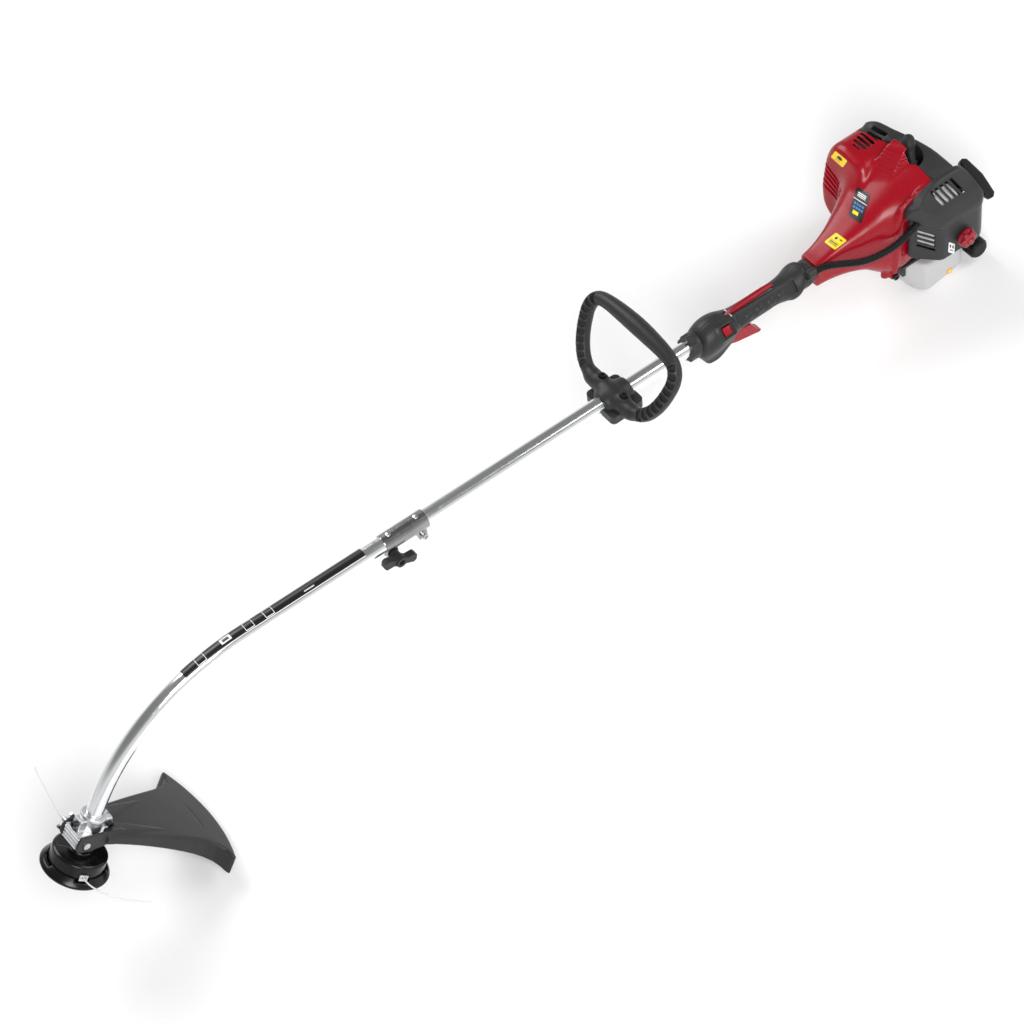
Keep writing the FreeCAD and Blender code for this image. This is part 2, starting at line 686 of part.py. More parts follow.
def top_cover_form(gap):
    g = gap
    across = prism("yz", [(-61.5 + g, 40), (-61.5 + g, 106 - g), (-56, 112 - g), (20, 126 - g),
                          (60, 130 - g),
                          (82, 127 - g), (97 - g, 112 - g), (104 - g, 60), (104 - g, 40)], 790, 900)
    along = prism("xz", [(SHROUD_BACK + 0.5, 60), (SHROUD_BACK + 0.5, 140), (846, 140), (868 - g, 112 - g),
                         (886 - g, 60)], -80, 120)
    plan = prism("xy", [(790, -80), (890, -80), (886 - g, -40), (860 - g, 28), (840 - g, 82), (834 - g, 106),
                        (790, 106)], 0, 160)
    return across.common(along).common(plan)


def top_cover():
    """Cover behind the shroud's crown, with a tongue forward over the muffler."""
    tongue = prism("yz", [(48.5, 119.5), (90, 119.5), (84, 126.0), (62, 129.5), (48.5, 129)], 812, 832)
    hollow = top_cover_form(WALL).fuse(moved(top_cover_form(WALL), -5))
    shell = fused(top_cover_form(0).cut(hollow), tongue)
    slots = [box((x, x + 7), (52, 86), (100, 135)) for x in (816, 826)]
    scallops = [rod((862, y, 122), (0.5, 0, -0.866), 5.5, 12) for y in (-36, -18, 0, 18, 36)]
    recess = box((826, 852), (-12, 22), (100, 150))
    return largest(cut(shell, recess, *slots, *scallops))


def spark_plug():
    shell = fused(rod_z(92, 101, 4.95, CYLINDER_X, PLUG_Y), hexagon("z", 7.5, 101, 107, CYLINDER_X, PLUG_Y))
    insulator = fused(rod_z(107, 116, 4.5, CYLINDER_X, PLUG_Y), rod_z(116, 120, 2.4, CYLINDER_X, PLUG_Y))
    return fused(shell, insulator)


def plug_boot():
    """Rubber elbow over the plug, turned down behind the scoop."""
    cap = rod_z(109, 128, 8.5, CYLINDER_X, PLUG_Y)
    arm = rod((CYLINDER_X, PLUG_Y, 115.5), (1, 0, 0.5), 5.5, 27)
    ball = Part.makeSphere(9.5, V(CYLINDER_X + 24, PLUG_Y, 131))
    barrel = rod((CYLINDER_X + 24, PLUG_Y, 131), (0.1, -0.12, -1), 7.8, 27)
    terminal = rod_z(100, 121, 4.6, CYLINDER_X, PLUG_Y)
    return fused(cap, arm, ball, barrel).cut(terminal)


def ignition_coil():
    core = box((772, 786), (-54, -38), (38, 58))
    winding = box((768, 790), (-57, -35), (44, 54))
    return fused(core, winding)


def ground_level(guard_shape):
    """Height of the ground in the pitched frame: the lowest point of the guard."""
    return pitched(guard_shape).BoundBox.ZMin


def pitched(shape):
    return turned_by(shape, (0, 0, 0), (0, 1, 0), REST_PITCH)


def unpitched(shape):
    return turned_by(shape, (0, 0, 0), (0, 1, 0), -REST_PITCH)


def tank_form(gap, floor):
    g = gap
    profile = [(TANK_LOW_X + g, TANK_TOP - g), (TANK_LOW_X + g, -82), (TANK_LOW_X + 18, -140),
               (TANK_HIGH_X - 10, -140), (TANK_HIGH_X - g, -88), (TANK_HIGH_X - 4 - g, -70),
               (TANK_HIGH_X - 14, TANK_TOP - g)]
    body = prism("xz", profile, TANK_NEAR + g, TANK_FAR - g)
    neck_corner = prism("xy", [(878 - g, TANK_NEAR - 5), (930, TANK_NEAR - 5), (930, NECK_FACE + g),
                               (886 - g, NECK_FACE + g)], -150, -50)
    front_corner = prism("xy", [(770, TANK_NEAR - 5), (814 + g, TANK_NEAR - 5), (790 + g, -38), (770, -38)],
                         -150, -50)
    body = cut(body, neck_corner, front_corner)
    below = unpitched(box((600, 1100), (-100, 100), (floor - 100, floor + g)))
    return body.cut(below)


def fuel_tank(floor):
    """Blow-moulded tank with its filler neck at the near side."""
    outer = tank_form(0, floor)
    sides = [e for e in outer.Edges
             if min(abs(e.CenterOfMass.y - side) for side in (TANK_NEAR, TANK_FAR)) < 0.1]
    outer = outer.makeFillet(7.0, sides)
    shell = outer.cut(tank_form(WALL, floor))
    neck = ring_y(-76, NECK_FACE + 1.5, 11.0, 8.5, CAP_X, CAP_Z)
    return cut(fused(shell, neck), rod_y(-70, NECK_FACE + 5, 8.5, CAP_X, CAP_Z))


def fuel_cap():
    """Ribbed screw cap over the filler neck."""
    cap = turned("y", [(-90, 0), (-90, 13), (-87, 16), (-64, 16), (-64, 11.4), (-86, 11.4), (-86, 0)])
    ribs = [turned_by(box((15.5, 16.8), (-86, -66), (-1.2, 1.2)), (0, 0, 0), (0, 1, 0), 30 * i)
            for i in range(12)]
    return moved(fused(cap, *ribs), CAP_X, 0, CAP_Z)


def tank_bracket():
    """Dark plastic bracket between the crankcase and the tank."""
    plate = box((778, 884), (-52, 52), (-61.5, -57))
    wall = box((778, 784), (-52, 52), (-78, -57))
    feet = [box((800, 840), (y, y + 6), (-58, -44)) for y in (-26, 20)]
    return cut(fused(plate, wall, *feet), rod_z(-70, -50, 3.0, 806, -43))


def starter_housing():
    """Ribbed cup round the recoil pulley, with the rope's outlet at its near side."""
    cup = fused(rod_x(848, 884, 54.0), box((848, 884), (-62, -30), (18, 50)))
    room = rod_x(845, 880, 47.0)
    outlet = rod((PULL_START - 4, PULL_Y, PULL_Z - 0.85), pull_direction(), 4.0, 40)
    passage = rod((PULL_START, PULL_Y - 2, PULL_Z), (0, 1, 0), 4.0, 40)
    post = rod_x(870, 881, 5.0)
    slots = [turned_by(box((872, 887), (20, 40), (-2, 2)), (0, 0, 0), (1, 0, 0), 30 * i)
             for i in range(12)]
    return fused(cut(cup, room, outlet, passage, *slots), post)


def pull_direction():
    tilt = math.radians(PULL_TILT)
    return (math.cos(tilt), 0, math.sin(tilt))


def starter_pulley():
    """Rope pulley on the housing's post."""
    wheel = turned("x", [(866, 0), (866, 38), (868, 38), (869, PULLEY_R), (875, PULLEY_R), (876, 38),
                         (878, 38), (878, 0)])
    return wheel.cut(rod_x(860, 890, 5.0 + RUN_GAP))


def starter_rope():
    """Rope from the housing's outlet to the pull handle."""
    return rod((PULL_START, PULL_Y, PULL_Z), pull_direction(), 2.0, 43)


def starter_handle():
    """T-shaped pull handle, bowed away from the engine."""
    outline = [(-36, 0), (-27, -3.5), (0, -6), (27, -3.5), (36, 0), (38, 6), (33, 12), (0, 16), (-33, 12),
               (-38, 6)]
    bar = prism("xy", [(b, a) for a, b in outline], -9, 9)
    bar = bar.makeFillet(3.0, bar.Edges)
    stem = rod((-9, 0, 0), (1, 0, 0), 6.0, 8)
    handle = fused(bar, stem).cut(rod((-14, 0, 0), (1, 0, 0), 2.0, 8))
    handle = turned_by(handle, (0, 0, 0), (1, 0, 0), HANDLE_TILT)
    handle = turned_by(handle, (0, 0, 0), (0, 1, 0), -PULL_TILT)
    rise = (HANDLE_X - PULL_START) * math.tan(math.radians(PULL_TILT))
    return moved(handle, HANDLE_X, PULL_Y, PULL_Z + rise)


def fuel_lines():
    """Feed hose between the carburettor and the tank."""
    return cord("fuel_lines", [V(804, -58, 18), V(804, -58, 2), V(803, -50, -16), V(804, -44, -34),
                               V(806, -43, -50), V(806, -43, -61.5)], 2.0)


def engine_bolts():
    """Socket screws at the shroud's lower lug and on the starter housing."""
    lug = fused(rod_y(-46, -32, 2.9, LUG_X, LUG_Z), rod_y(-52, -46, 5.5, LUG_X, LUG_Z))
    rear = []
    for i in range(4):
        angle = math.radians(45 + 90 * i)
        y = 49.0 * math.cos(angle)
        z = 49.0 * math.sin(angle)
        rear.append(rod_x(884, 887, 3.6, y, z))
    return group(lug.cut(hexagon("y", 2.5, -53, -49, LUG_X, LUG_Z)), *rear)


# ---- cutting head, in its own frame ----

def head_bracket():
    """Cast bracket: clamp on the tube's end, bearing neck, ribbed front lobe and lower collar."""
    clamp = turned("z", [(-23, 0), (-23, 18), (-25, 19), (-28, 19), (-29, 18), (-46, 18), (-48, 16),
                         (-48, 0)])
    lugs = box((14, 29), (-11, 11), (-46, -28))
    front = fused(box((-27, -14), (-9, 9), (-47, -28)), box((-34, -8), (-22, EAR_FAR - 0.7), (-68, -44)))
    neck = turned("z", [(-46, 0), (-46, 16), (-60, 15), (-70, 14), (-76, 18), (-80, 18), (-83, 16),
                        (-83, 0)])
    grooves = [rod_y(-23, 23, 1.6, -34, z) for z in (-48, -53, -58, -63)]
    slit = box((0, 30), (-1.2, 1.2), (-48, -10))
    holes = [rod_y(-15, 15, 2.6, 23, -37), rod((-30, 0, -37), (1, 0, 0), 2.6, 18),
             rod_y(-30, 30, 3.0, GUARD_BOLT_R, -GUARD_BOLT_LEVEL)]
    body = fused(clamp, lugs, front, neck)
    return cut(body, rod_z(-TAIL, 0, TUBE_R), rod_z(-90, -40, 6.0), rod_z(-84, -66, 9.0), slit, *grooves,
               *holes)


def bracket_bolts():
    clamp = fused(rod_y(-11, 11, 2.6, 23, -37), rod_y(-18, -11, 4.8, 23, -37))
    clamp = clamp.cut(hexagon("y", 2.3, -19, -14, 23, -37))
    locate = fused(rod((-27, 0, -37), (1, 0, 0), 2.6, 13.5), rod((-34, 0, -37), (1, 0, 0), 4.8, 7))
    locate = locate.cut(hexagon("x", 2.3, -35, -30, 0, -37))
    return group(clamp, locate)


def guard_plan(inset):
    """Outline of the guard from above: a fan about the head's axis."""
    half = GUARD_HALF - inset
    rim = GUARD_R - inset
    corner = math.sqrt(rim ** 2 - half ** 2)
    side = [(corner - 12, 78 - inset), (178, 63 - inset), (100, 47 - inset), (40, 36 - inset),
            (14, 32 - inset)]
    edges = []
    points = [V(corner, half, 0)] + [V(x, y, 0) for x, y in side]
    points += [V(x, -y, 0) for x, y in reversed(side)] + [V(corner, -half, 0)]
    for a, b in zip(points, points[1:], strict=False):
        edges.append(Part.LineSegment(a, b).toShape())
    edges.append(Part.Arc(points[-1], V(rim, 0, 0), points[0]).toShape())
    return Part.Face(Part.Wire(edges))


def guard_top(x):
    """Level of the guard's upper face, a gentle slope that steepens to the rear."""
    return -44 - 6 * (x / 100) - 5.5 * (max(x - 60, 0) / 100) ** 2


def guard_band(depth_near, depth_far):
    """Side profile of the guard: its top line and a lower line at the given depths."""
    stations = [-10, 40, 80, 120, 160, 200, 250]
    top = [(x, guard_top(x)) for x in stations]
    low = [(x, guard_top(x) - depth_near - (depth_far - depth_near) * max(x - 40, 0) / 210)
           for x in reversed(stations)]
    return prism("xz", top + low, -140, 140)


def guard():
    """Fan-shaped plate with a skirt, its ears either side of the bracket's lobe."""
    block = moved(guard_plan(0).extrude(V(0, 0, -130)), 0, 0, -20)
    inner = moved(guard_plan(3.0).extrude(V(0, 0, -130)), 0, 0, -20)
    plate = block.common(guard_band(3.0, 3.0))
    skirt = block.cut(inner).common(guard_band(12.0, 34.0))
    trim = box((10.0, 14.2), (-29, 29), (-90, -30))
    ears = []
    for low, high in ((-27.5, -23), (EAR_FAR, EAR_FAR + 4.5)):
        ears.append(prism("xz", [(-36, -50), (-28, -41), (20, -38), (40, -42), (40, -58), (-6, -70),
                                 (-30, -70),
                                 (-36, -64)], low, high))
    body = fused(plate, skirt.cut(trim), *ears)
    return cut(body, rod_z(-90, -20, 19.0), rod_y(-30, 30, 3.0, GUARD_BOLT_R, -GUARD_BOLT_LEVEL),
               box((10, 30), (-15, 15), (-50, -25)))


def guard_bolt():
    bolt = fused(rod_y(-27.5, EAR_FAR + 19, 2.9, GUARD_BOLT_R, -GUARD_BOLT_LEVEL),
                 rod_y(-30, -27.5, 5.5, GUARD_BOLT_R, -GUARD_BOLT_LEVEL))
    return bolt


def wing_nut():
    hub = rod_y(28.2, 38, 5.5, 0, 0)
    wing = [(2, -3), (9, -4), (15, 1), (15, 8), (11, 9), (7, 4), (2, 4)]
    wings = [prism("xz", [(s * x, z) for x, z in wing], 31, 34.5) for s in (1, -1)]
    nut = fused(hub, *wings).cut(rod_y(25, 45, 2.9 + RUN_GAP, 0, 0))
    nut = turned_by(nut, (0, 0, 0), (0, 1, 0), -50)
    return moved(nut, GUARD_BOLT_R, EAR_FAR - 23, -GUARD_BOLT_LEVEL)


def head_arbor():
    """Spindle in the bracket's bearings, driven by the cable, with the nut that holds the head."""
    spindle = turned("z", [(-49, 0), (-49, 5.95), (-84, 5.95), (-84, 11), (-88, 11), (-88, 5), (-130, 5),
                           (-130, 0)])
    return spindle.cut(rod_z(-63, -40, 3.1))


def head_cover():
    """Upper case of the head, with windows and the line's two outlets."""
    form = turned("z", [(-88, 0), (-88, 14), (-91, 16), (-92, 39), (-95, COVER_R), (-116, COVER_R),
                        (-116, COVER_R - 2.5), (-95, COVER_R - 2.5), (-94.5, 14), (-94.5, 0)])
    outlets = rod((-60, 0, -LINE_LEVEL), (1, 0, 0), 3.0, 120)
    outlets = turned_by(outlets, (0, 0, 0), (0, 0, 1), LINE_ANGLE)
    return cut(form, rod_z(-100, -80, 5.0), outlets)


def head_flange():
    """Conical skirt below the cover, notched at the line outlets."""
    form = turned("z", [(-112, 43.0), (-120, 51.0), (-FLANGE_LEVEL, FLANGE_R), (-126, FLANGE_R - 1),
                        (-130, 44), (-130, 24), (-126.5, 24), (-126.5, 41), (-118, 42.3), (-112, 42.3)])
    notches = []
    for i in range(4):
        notch = box((40, 60), (-9, 9), (-116, -100))
        notches.append(turned_by(notch, (0, 0, 0), (0, 0, 1), LINE_ANGLE + 90 * i))
    return cut(form, *notches)


def spool():
    """Flanged spool, turning and sliding with the bump knob."""
    core = turned("z", [(-99.5, 5.4), (-99.5, 36), (-101.5, 36), (-101.5, 16), (-121, 16), (-121, 36),
                        (-123, 36), (-123, 5.4)])
    return core


def line_eyelets():
    eyelets = []
    for turn in (0, 180):
        plate = fused(box((COVER_R, 45.5), (-6.5, 6.5), (-LINE_LEVEL - 5, -LINE_LEVEL + 5)),
                      rod((38, 0, -LINE_LEVEL), (1, 0, 0), 2.9, 6))
        eyelet = plate.cut(rod((30, 0, -LINE_LEVEL), (1, 0, 0), 1.9, 30)).cut(rod_z(-130, -90, 37.5))
        eyelets.append(turned_by(eyelet.cut(ring_z(-120, -90, COVER_R, 30).cut(
            rod((30, 0, -LINE_LEVEL), (1, 0, 0), 3.0, 30))), (0, 0, 0), (0, 0, 1), LINE_ANGLE + turn))
    return group(*eyelets)


def bump_knob():
    knob = turned("z", [(-124, 5.4), (-124, 22), (-140, 22), (-146, 15), (-149, 0), (-142, 0), (-142, 5.4)])
    return knob


def line_end_near():
    """Free end that leaves the near outlet and curls to the rear."""
    points = [V(-16, -38, -108), V(-17, -49, -108.5), V(-12, -63, -109.5), V(0, -79, -110.5),
              V(17, -94, -110.5), V(37, -106, -109.5), V(56, -114, -108)]
    return cord("line_end_near", points, LINE_R)


def line_end_far():
    """Free end that leaves the far outlet nearly straight."""
    points = [V(15.5, 38, -108), V(20, 60, -108.4), V(27.5, 96, -109.2), V(34.5, 134, -108.8),
              V(42, 176, -107), V(45, 191, -106)]
    return cord("line_end_far", points, LINE_R)


# ---- assembly ----

def build_nodes():
    guard_shape = in_head(guard())
    floor = ground_level(guard_shape)
    nodes = {
        "upper_tube": upper_tube(), "coupler_sleeve": coupler_sleeve(),
        "coupler_fasteners": group(coupler_bolt(), coupler_rivets()), "wing_knob": wing_knob(),
        "shaft_bushes": shaft_bushes(),
        "drive_shaft": drive_shaft(), "loop_handle": loop_handle(), "loop_cap": loop_cap(),
        "loop_screws": loop_screws(), "grip_left": grip_half(-1), "grip_right": grip_half(1),
        "grip_fasteners": group(grip_pins(), grip_screw()),
        "grip_clamps": group(grip_front_ring(), grip_rear_collar()),
        "throttle_trigger": throttle_trigger(), "lockout_lever": lockout_lever(),
        "stop_switch": stop_switch(), "throttle_conduit": throttle_conduit(),
        "engine_shroud": engine_shroud(), "clutch_housing": clutch_housing(),
        "clutch_drum": clutch_drum(), "clutch_shoes": clutch_shoes(), "flywheel": flywheel(),
        "crankshaft": crankshaft(), "crankcase": crankcase(), "cylinder": cylinder(),
        "piston_and_rod": group(piston(), connecting_rod()), "muffler": muffler(),
        "carburettor": carburettor(), "throttle_arm": throttle_arm(), "air_filter": air_filter(),
        "side_cover": side_cover(), "cover_knob": cover_knob(), "top_cover": top_cover(),
        "spark_plug": spark_plug(), "plug_boot": plug_boot(), "ignition_coil": ignition_coil(),
        "fuel_tank": fuel_tank(floor), "fuel_cap": fuel_cap(), "tank_bracket": tank_bracket(),
        "starter_housing": starter_housing(), "starter_pulley": starter_pulley(),
        "starter_rope": starter_rope(), "starter_handle": starter_handle(),
        "fuel_lines": fuel_lines(), "engine_bolts": engine_bolts(),
        "lower_tube": lower_tube(), "flex_shaft": flex_shaft(), "guard": guard_shape,
    }
    head_nodes = {
        "head_bracket": head_bracket(), "bracket_bolts": bracket_bolts(), "guard_bolt": guard_bolt(),
        "wing_nut": wing_nut(), "head_arbor": head_arbor(), "head_cover": head_cover(),
        "head_flange": head_flange(), "spool": spool(), "line_eyelets": line_eyelets(),
        "bump_knob": bump_knob(), "line_end_near": line_end_near(), "line_end_far": line_end_far(),
    }
    nodes.update({name: in_head(shape) for name, shape in head_nodes.items()})
    return nodes, floor


def placement(nodes, floor):
    """Shift that puts the middle of the footprint, cords apart, at the origin, on the ground."""
    solid = Part.makeCompound([shape for name, shape in nodes.items() if not name.startswith("line_end")])
    bounds = pitched(solid).BoundBox
    return V(-bounds.Center.x, -bounds.Center.y, -floor)


def main():
    os.makedirs("parts", exist_ok=True)
    nodes, floor = build_nodes()
    shift = placement(nodes, floor)
    for name, shape in nodes.items():
        placed = pitched(shape)
        placed.translate(shift)
        placed.exportStep("parts/" + name + ".step")
    print(len(nodes), "nodes, shaft frame moved by", [round(a, 2) for a in shift])


main()
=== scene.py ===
import json
import math
from functools import reduce

import bpy
import numpy as np
import openvdb
from mathutils import Matrix, Vector
from mathutils.bvhtree import BVHTree


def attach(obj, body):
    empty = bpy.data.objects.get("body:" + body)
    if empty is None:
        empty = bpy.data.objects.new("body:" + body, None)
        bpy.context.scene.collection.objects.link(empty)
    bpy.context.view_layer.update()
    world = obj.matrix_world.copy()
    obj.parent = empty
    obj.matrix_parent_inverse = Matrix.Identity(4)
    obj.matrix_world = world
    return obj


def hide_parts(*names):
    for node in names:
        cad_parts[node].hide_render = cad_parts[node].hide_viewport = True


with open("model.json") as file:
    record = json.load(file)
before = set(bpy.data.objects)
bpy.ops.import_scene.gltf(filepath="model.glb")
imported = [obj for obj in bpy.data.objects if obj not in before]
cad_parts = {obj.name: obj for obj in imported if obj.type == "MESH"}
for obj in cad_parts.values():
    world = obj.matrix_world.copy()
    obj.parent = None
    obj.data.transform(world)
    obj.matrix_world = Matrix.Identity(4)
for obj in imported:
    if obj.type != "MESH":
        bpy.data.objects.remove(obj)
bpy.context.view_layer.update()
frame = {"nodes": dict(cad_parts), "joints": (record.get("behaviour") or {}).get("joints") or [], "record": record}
NODES = frame["nodes"]

# The shaft frame, in millimetres: X along the straight shaft towards the engine, Z up in the plane of
# the bend, Y to the muffler side.  It is read back from the crank's joint, which lies on the shaft.
CRANK = next(j for j in frame["joints"] if j["name"] == "crank_spin")
CRANK_REACH = 0.812  # metres from the shaft frame's origin to the crank's joint
AX, AZ = Vector(CRANK["axis"]), Vector((-CRANK["axis"][2], 0, CRANK["axis"][0]))
ORIGIN = Vector(CRANK["pos_m"]) - CRANK_REACH * AX
TO_ROW = np.array([[AX.x, 0, AZ.x], [0, 1, 0], [AX.z, 0, AZ.z]])

# The head's frame: its origin at the low end of the bent tube, r to the rear, up along the neck.
BEND_END = np.array((-691.55, 0.0, -153.56))
HEAD_R = np.array((0.8467, 0.0, -0.5320))
HEAD_UP = np.array((0.5320, 0.0, 0.8467))

ROOT = "engine_and_shaft"
TUBE_R = 13.0  # outside of the shaft tube, in millimetres
WALL = 2.5  # of the moulded covers


def row(points):
    """Shaft-frame millimetres to row-frame metres."""
    return np.asarray(points, float) @ TO_ROW.T / 1000 + np.array(ORIGIN)


def from_head(points):
    """Head frame (r, y, up) to the shaft frame."""
    p = np.asarray(points, float)
    return BEND_END + p[..., :1] * HEAD_R + p[..., 1:2] * np.array((0, 1, 0)) + p[..., 2:] * HEAD_UP


# ---- camera ----

CAMERA_PLACE = (-1482.56, -2607.01, 3674.56)
CAMERA_AXES = ((0.7954, -0.5994, -0.0898), (0.5164, 0.5927, 0.6181), (-0.3173, -0.538, 0.781))


def make_camera():
    right, up, back = (TO_ROW @ np.array(v) for v in CAMERA_AXES)
    data = bpy.data.cameras.new("camera")
    data.lens, data.sensor_width = 114.35, 36.0
    data.clip_start, data.clip_end = 0.5, 30.0
    cam = bpy.data.objects.new("camera", data)
    bpy.context.scene.collection.objects.link(cam)
    place = Matrix([[*r] for r in np.stack([right, up, back], axis=1)]).to_4x4()
    place.translation = Vector(row(CAMERA_PLACE))
    cam.matrix_world = place
    bpy.context.scene.camera = cam


make_camera()
bpy.context.scene.view_settings.view_transform = "Standard"


# ---- signed-distance solids, in millimetres ----

class Grid:
    """A block of sample points; x, y and z are open arrays that broadcast to the whole block."""

    def __init__(self, low, high, step):
        self.low, self.step = low, step
        axes = [np.arange(a, b + step, step, dtype=np.float32) for a, b in zip(low, high)]
        self.x, self.y, self.z = axes[0][:, None, None], axes[1][None, :, None], axes[2][None, None, :]
        self.shape = tuple(len(a) for a in axes)


def smax(a, b, k=0.0):
    """The greater of two fields, its crease rounded over k."""
    if k <= 0:
        return np.maximum(a, b)
    h = np.maximum(k - np.abs(a - b), 0) / k
    return np.maximum(a, b) + h * h * (k * 0.25)


def smin(a, b, k=0.0):
    return -smax(-a, -b, k)


def both(k, *fields):
    """Intersection of several fields."""
    return reduce(lambda a, b: smax(a, b, k), fields)


def either(k, *fields):
    """Union of several fields."""
    return reduce(lambda a, b: smin(a, b, k), fields)


def less(a, b, k=0.0):
    return smax(a, -b, k)


def unit(a):
    return np.clip(a, 0, 1)


def slab(u, low, high):
    return np.abs(u - (low + high) / 2) - (high - low) / 2


def block(g, x, y, z, k=0.0):
    """Box with its edges rounded over k."""
    return both(k, slab(g.x, *x), slab(g.y, *y), slab(g.z, *z))


def facet(u, v, a, b):
    """Half plane to the right of the line from a to b."""
    dx, dy = b[0] - a[0], b[1] - a[1]
    n = math.hypot(dx, dy)
    return ((u - a[0]) * -dy + (v - a[1]) * dx) / n


def convex(u, v, outline, k, grow=0.0):
    """Convex polygon, its corners listed clockwise, rounded over k."""
    return both(k, *[facet(u, v, a, b) for a, b in zip(outline, outline[1:] + outline[:1])]) - grow


def polygon(u, v, outline):
    """Exact distance to any polygon."""
    d = None
    s = 1.0
    for (ax, ay), (bx, by) in zip(outline, outline[1:] + outline[:1]):
        ex, ey, wx, wy = bx - ax, by - ay, u - ax, v - ay
        t = unit((wx * ex + wy * ey) / (ex * ex + ey * ey))
        q = (wx - ex * t) ** 2 + (wy - ey * t) ** 2
        d = q if d is None else np.minimum(d, q)
        c1, c2, c3 = v >= ay, v < by, ex * wy > ey * wx
        s = s * np.where((c1 & c2 & c3) | (~c1 & ~c2 & ~c3), -1.0, 1.0)
    return (s * np.sqrt(d)).astype(np.float32)


def capsule(g, a, b, r0, r1=None):
    """Rod with round ends, tapering from r0 to r1."""
    a, b = np.array(a, float), np.array(b, float)
    e = b - a
    t = unit(((g.x - a[0]) * e[0] + (g.y - a[1]) * e[1] + (g.z - a[2]) * e[2]) / (e @ e))
    q = (g.x - a[0] - e[0] * t) ** 2 + (g.y - a[1] - e[1] * t) ** 2 + (g.z - a[2] - e[2] * t) ** 2
    return np.sqrt(q) - (r0 if r1 is None else r0 + (r1 - r0) * t)


def cylinder(g, a, b, r, k=0.0):
    """Rod with flat ends."""
    a, b = np.array(a, float), np.array(b, float)
    e = (b - a) / np.linalg.norm(b - a)
    along = (g.x - a[0]) * e[0] + (g.y - a[1]) * e[1] + (g.z - a[2]) * e[2]
    q = (g.x - a[0]) ** 2 + (g.y - a[1]) ** 2 + (g.z - a[2]) ** 2 - along ** 2
    return smax(np.sqrt(np.maximum(q, 0)) - r, slab(along, 0, float(np.linalg.norm(b - a))), k)


def plane(g, point, normal):
    n = np.array(normal, float) / np.linalg.norm(normal)
    return (g.x - point[0]) * n[0] + (g.y - point[1]) * n[1] + (g.z - point[2]) * n[2]


def new_object(name, points, faces, body, material, place=row, stands_for=(), smooth=True):
    """A mesh piece: points in a millimetre frame, faces as index arrays of equal length rows."""
    mesh = bpy.data.meshes.new(name)
    co = place(points).astype(np.float32)
    loops = np.concatenate([f.ravel() for f in faces]).astype(np.int32)
    sizes = np.concatenate([np.full(len(f), f.shape[1]) for f in faces]).astype(np.int32)
    mesh.vertices.add(len(co))
    mesh.vertices.foreach_set("co", co.ravel())
    mesh.loops.add(len(loops))
    mesh.loops.foreach_set("vertex_index", loops)
    mesh.polygons.add(len(sizes))
    mesh.polygons.foreach_set("loop_start", np.concatenate([[0], np.cumsum(sizes)[:-1]]).astype(np.int32))
    mesh.polygons.foreach_set("use_smooth", np.full(len(sizes), smooth))
    mesh.update(calc_edges=True)
    mesh.validate()
    piece = bpy.data.objects.new(name, mesh)
    bpy.context.scene.collection.objects.link(piece)
    return finish_piece(piece, body, material, stands_for)


def finish_piece(piece, body, material, stands_for=()):
    piece.data.materials.append(material)
    if body:
        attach(piece, body)
    if stands_for:
        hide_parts(*stands_for)
    return piece


def carve(name, g, field, body, material, stands_for, place=row):
    """Meshes the surface where a field is zero, to show in place of CAD nodes."""
    band = 3 * g.step
    values = np.clip(np.broadcast_to(field, g.shape), -band, band).astype(np.float32)
    grid = openvdb.FloatGrid(band)
    grid.copyFromArray(np.ascontiguousarray(values), tolerance=0.0)
    points, triangles, quads = grid.convertToPolygons(isovalue=0.0, adaptivity=0.0)
    points = points * g.step + np.array(g.low)
    faces = [f[:, ::-1] for f in (triangles, quads) if len(f)]
    new_object(name, points, faces, body, material, place, stands_for)


# ---- materials ----

def link(tree, a, b):
    tree.links.new(a, b)


def new_node(tree, kind):
    return tree.nodes.new("ShaderNode" + kind)


def noise(tree, vector, scale, detail):
    node = new_node(tree, "TexNoise")
    node.inputs["Scale"].default_value = scale
    node.inputs["Detail"].default_value = detail
    link(tree, vector, node.inputs["Vector"])
    return node.outputs["Fac"]


def remap(tree, value, low, high, start=0.3, end=0.7):
    node = new_node(tree, "MapRange")
    link(tree, value, node.inputs["Value"])
    for name, number in (("From Min", start), ("From Max", end), ("To Min", low), ("To Max", high)):
        node.inputs[name].default_value = number
    return node.outputs["Result"]


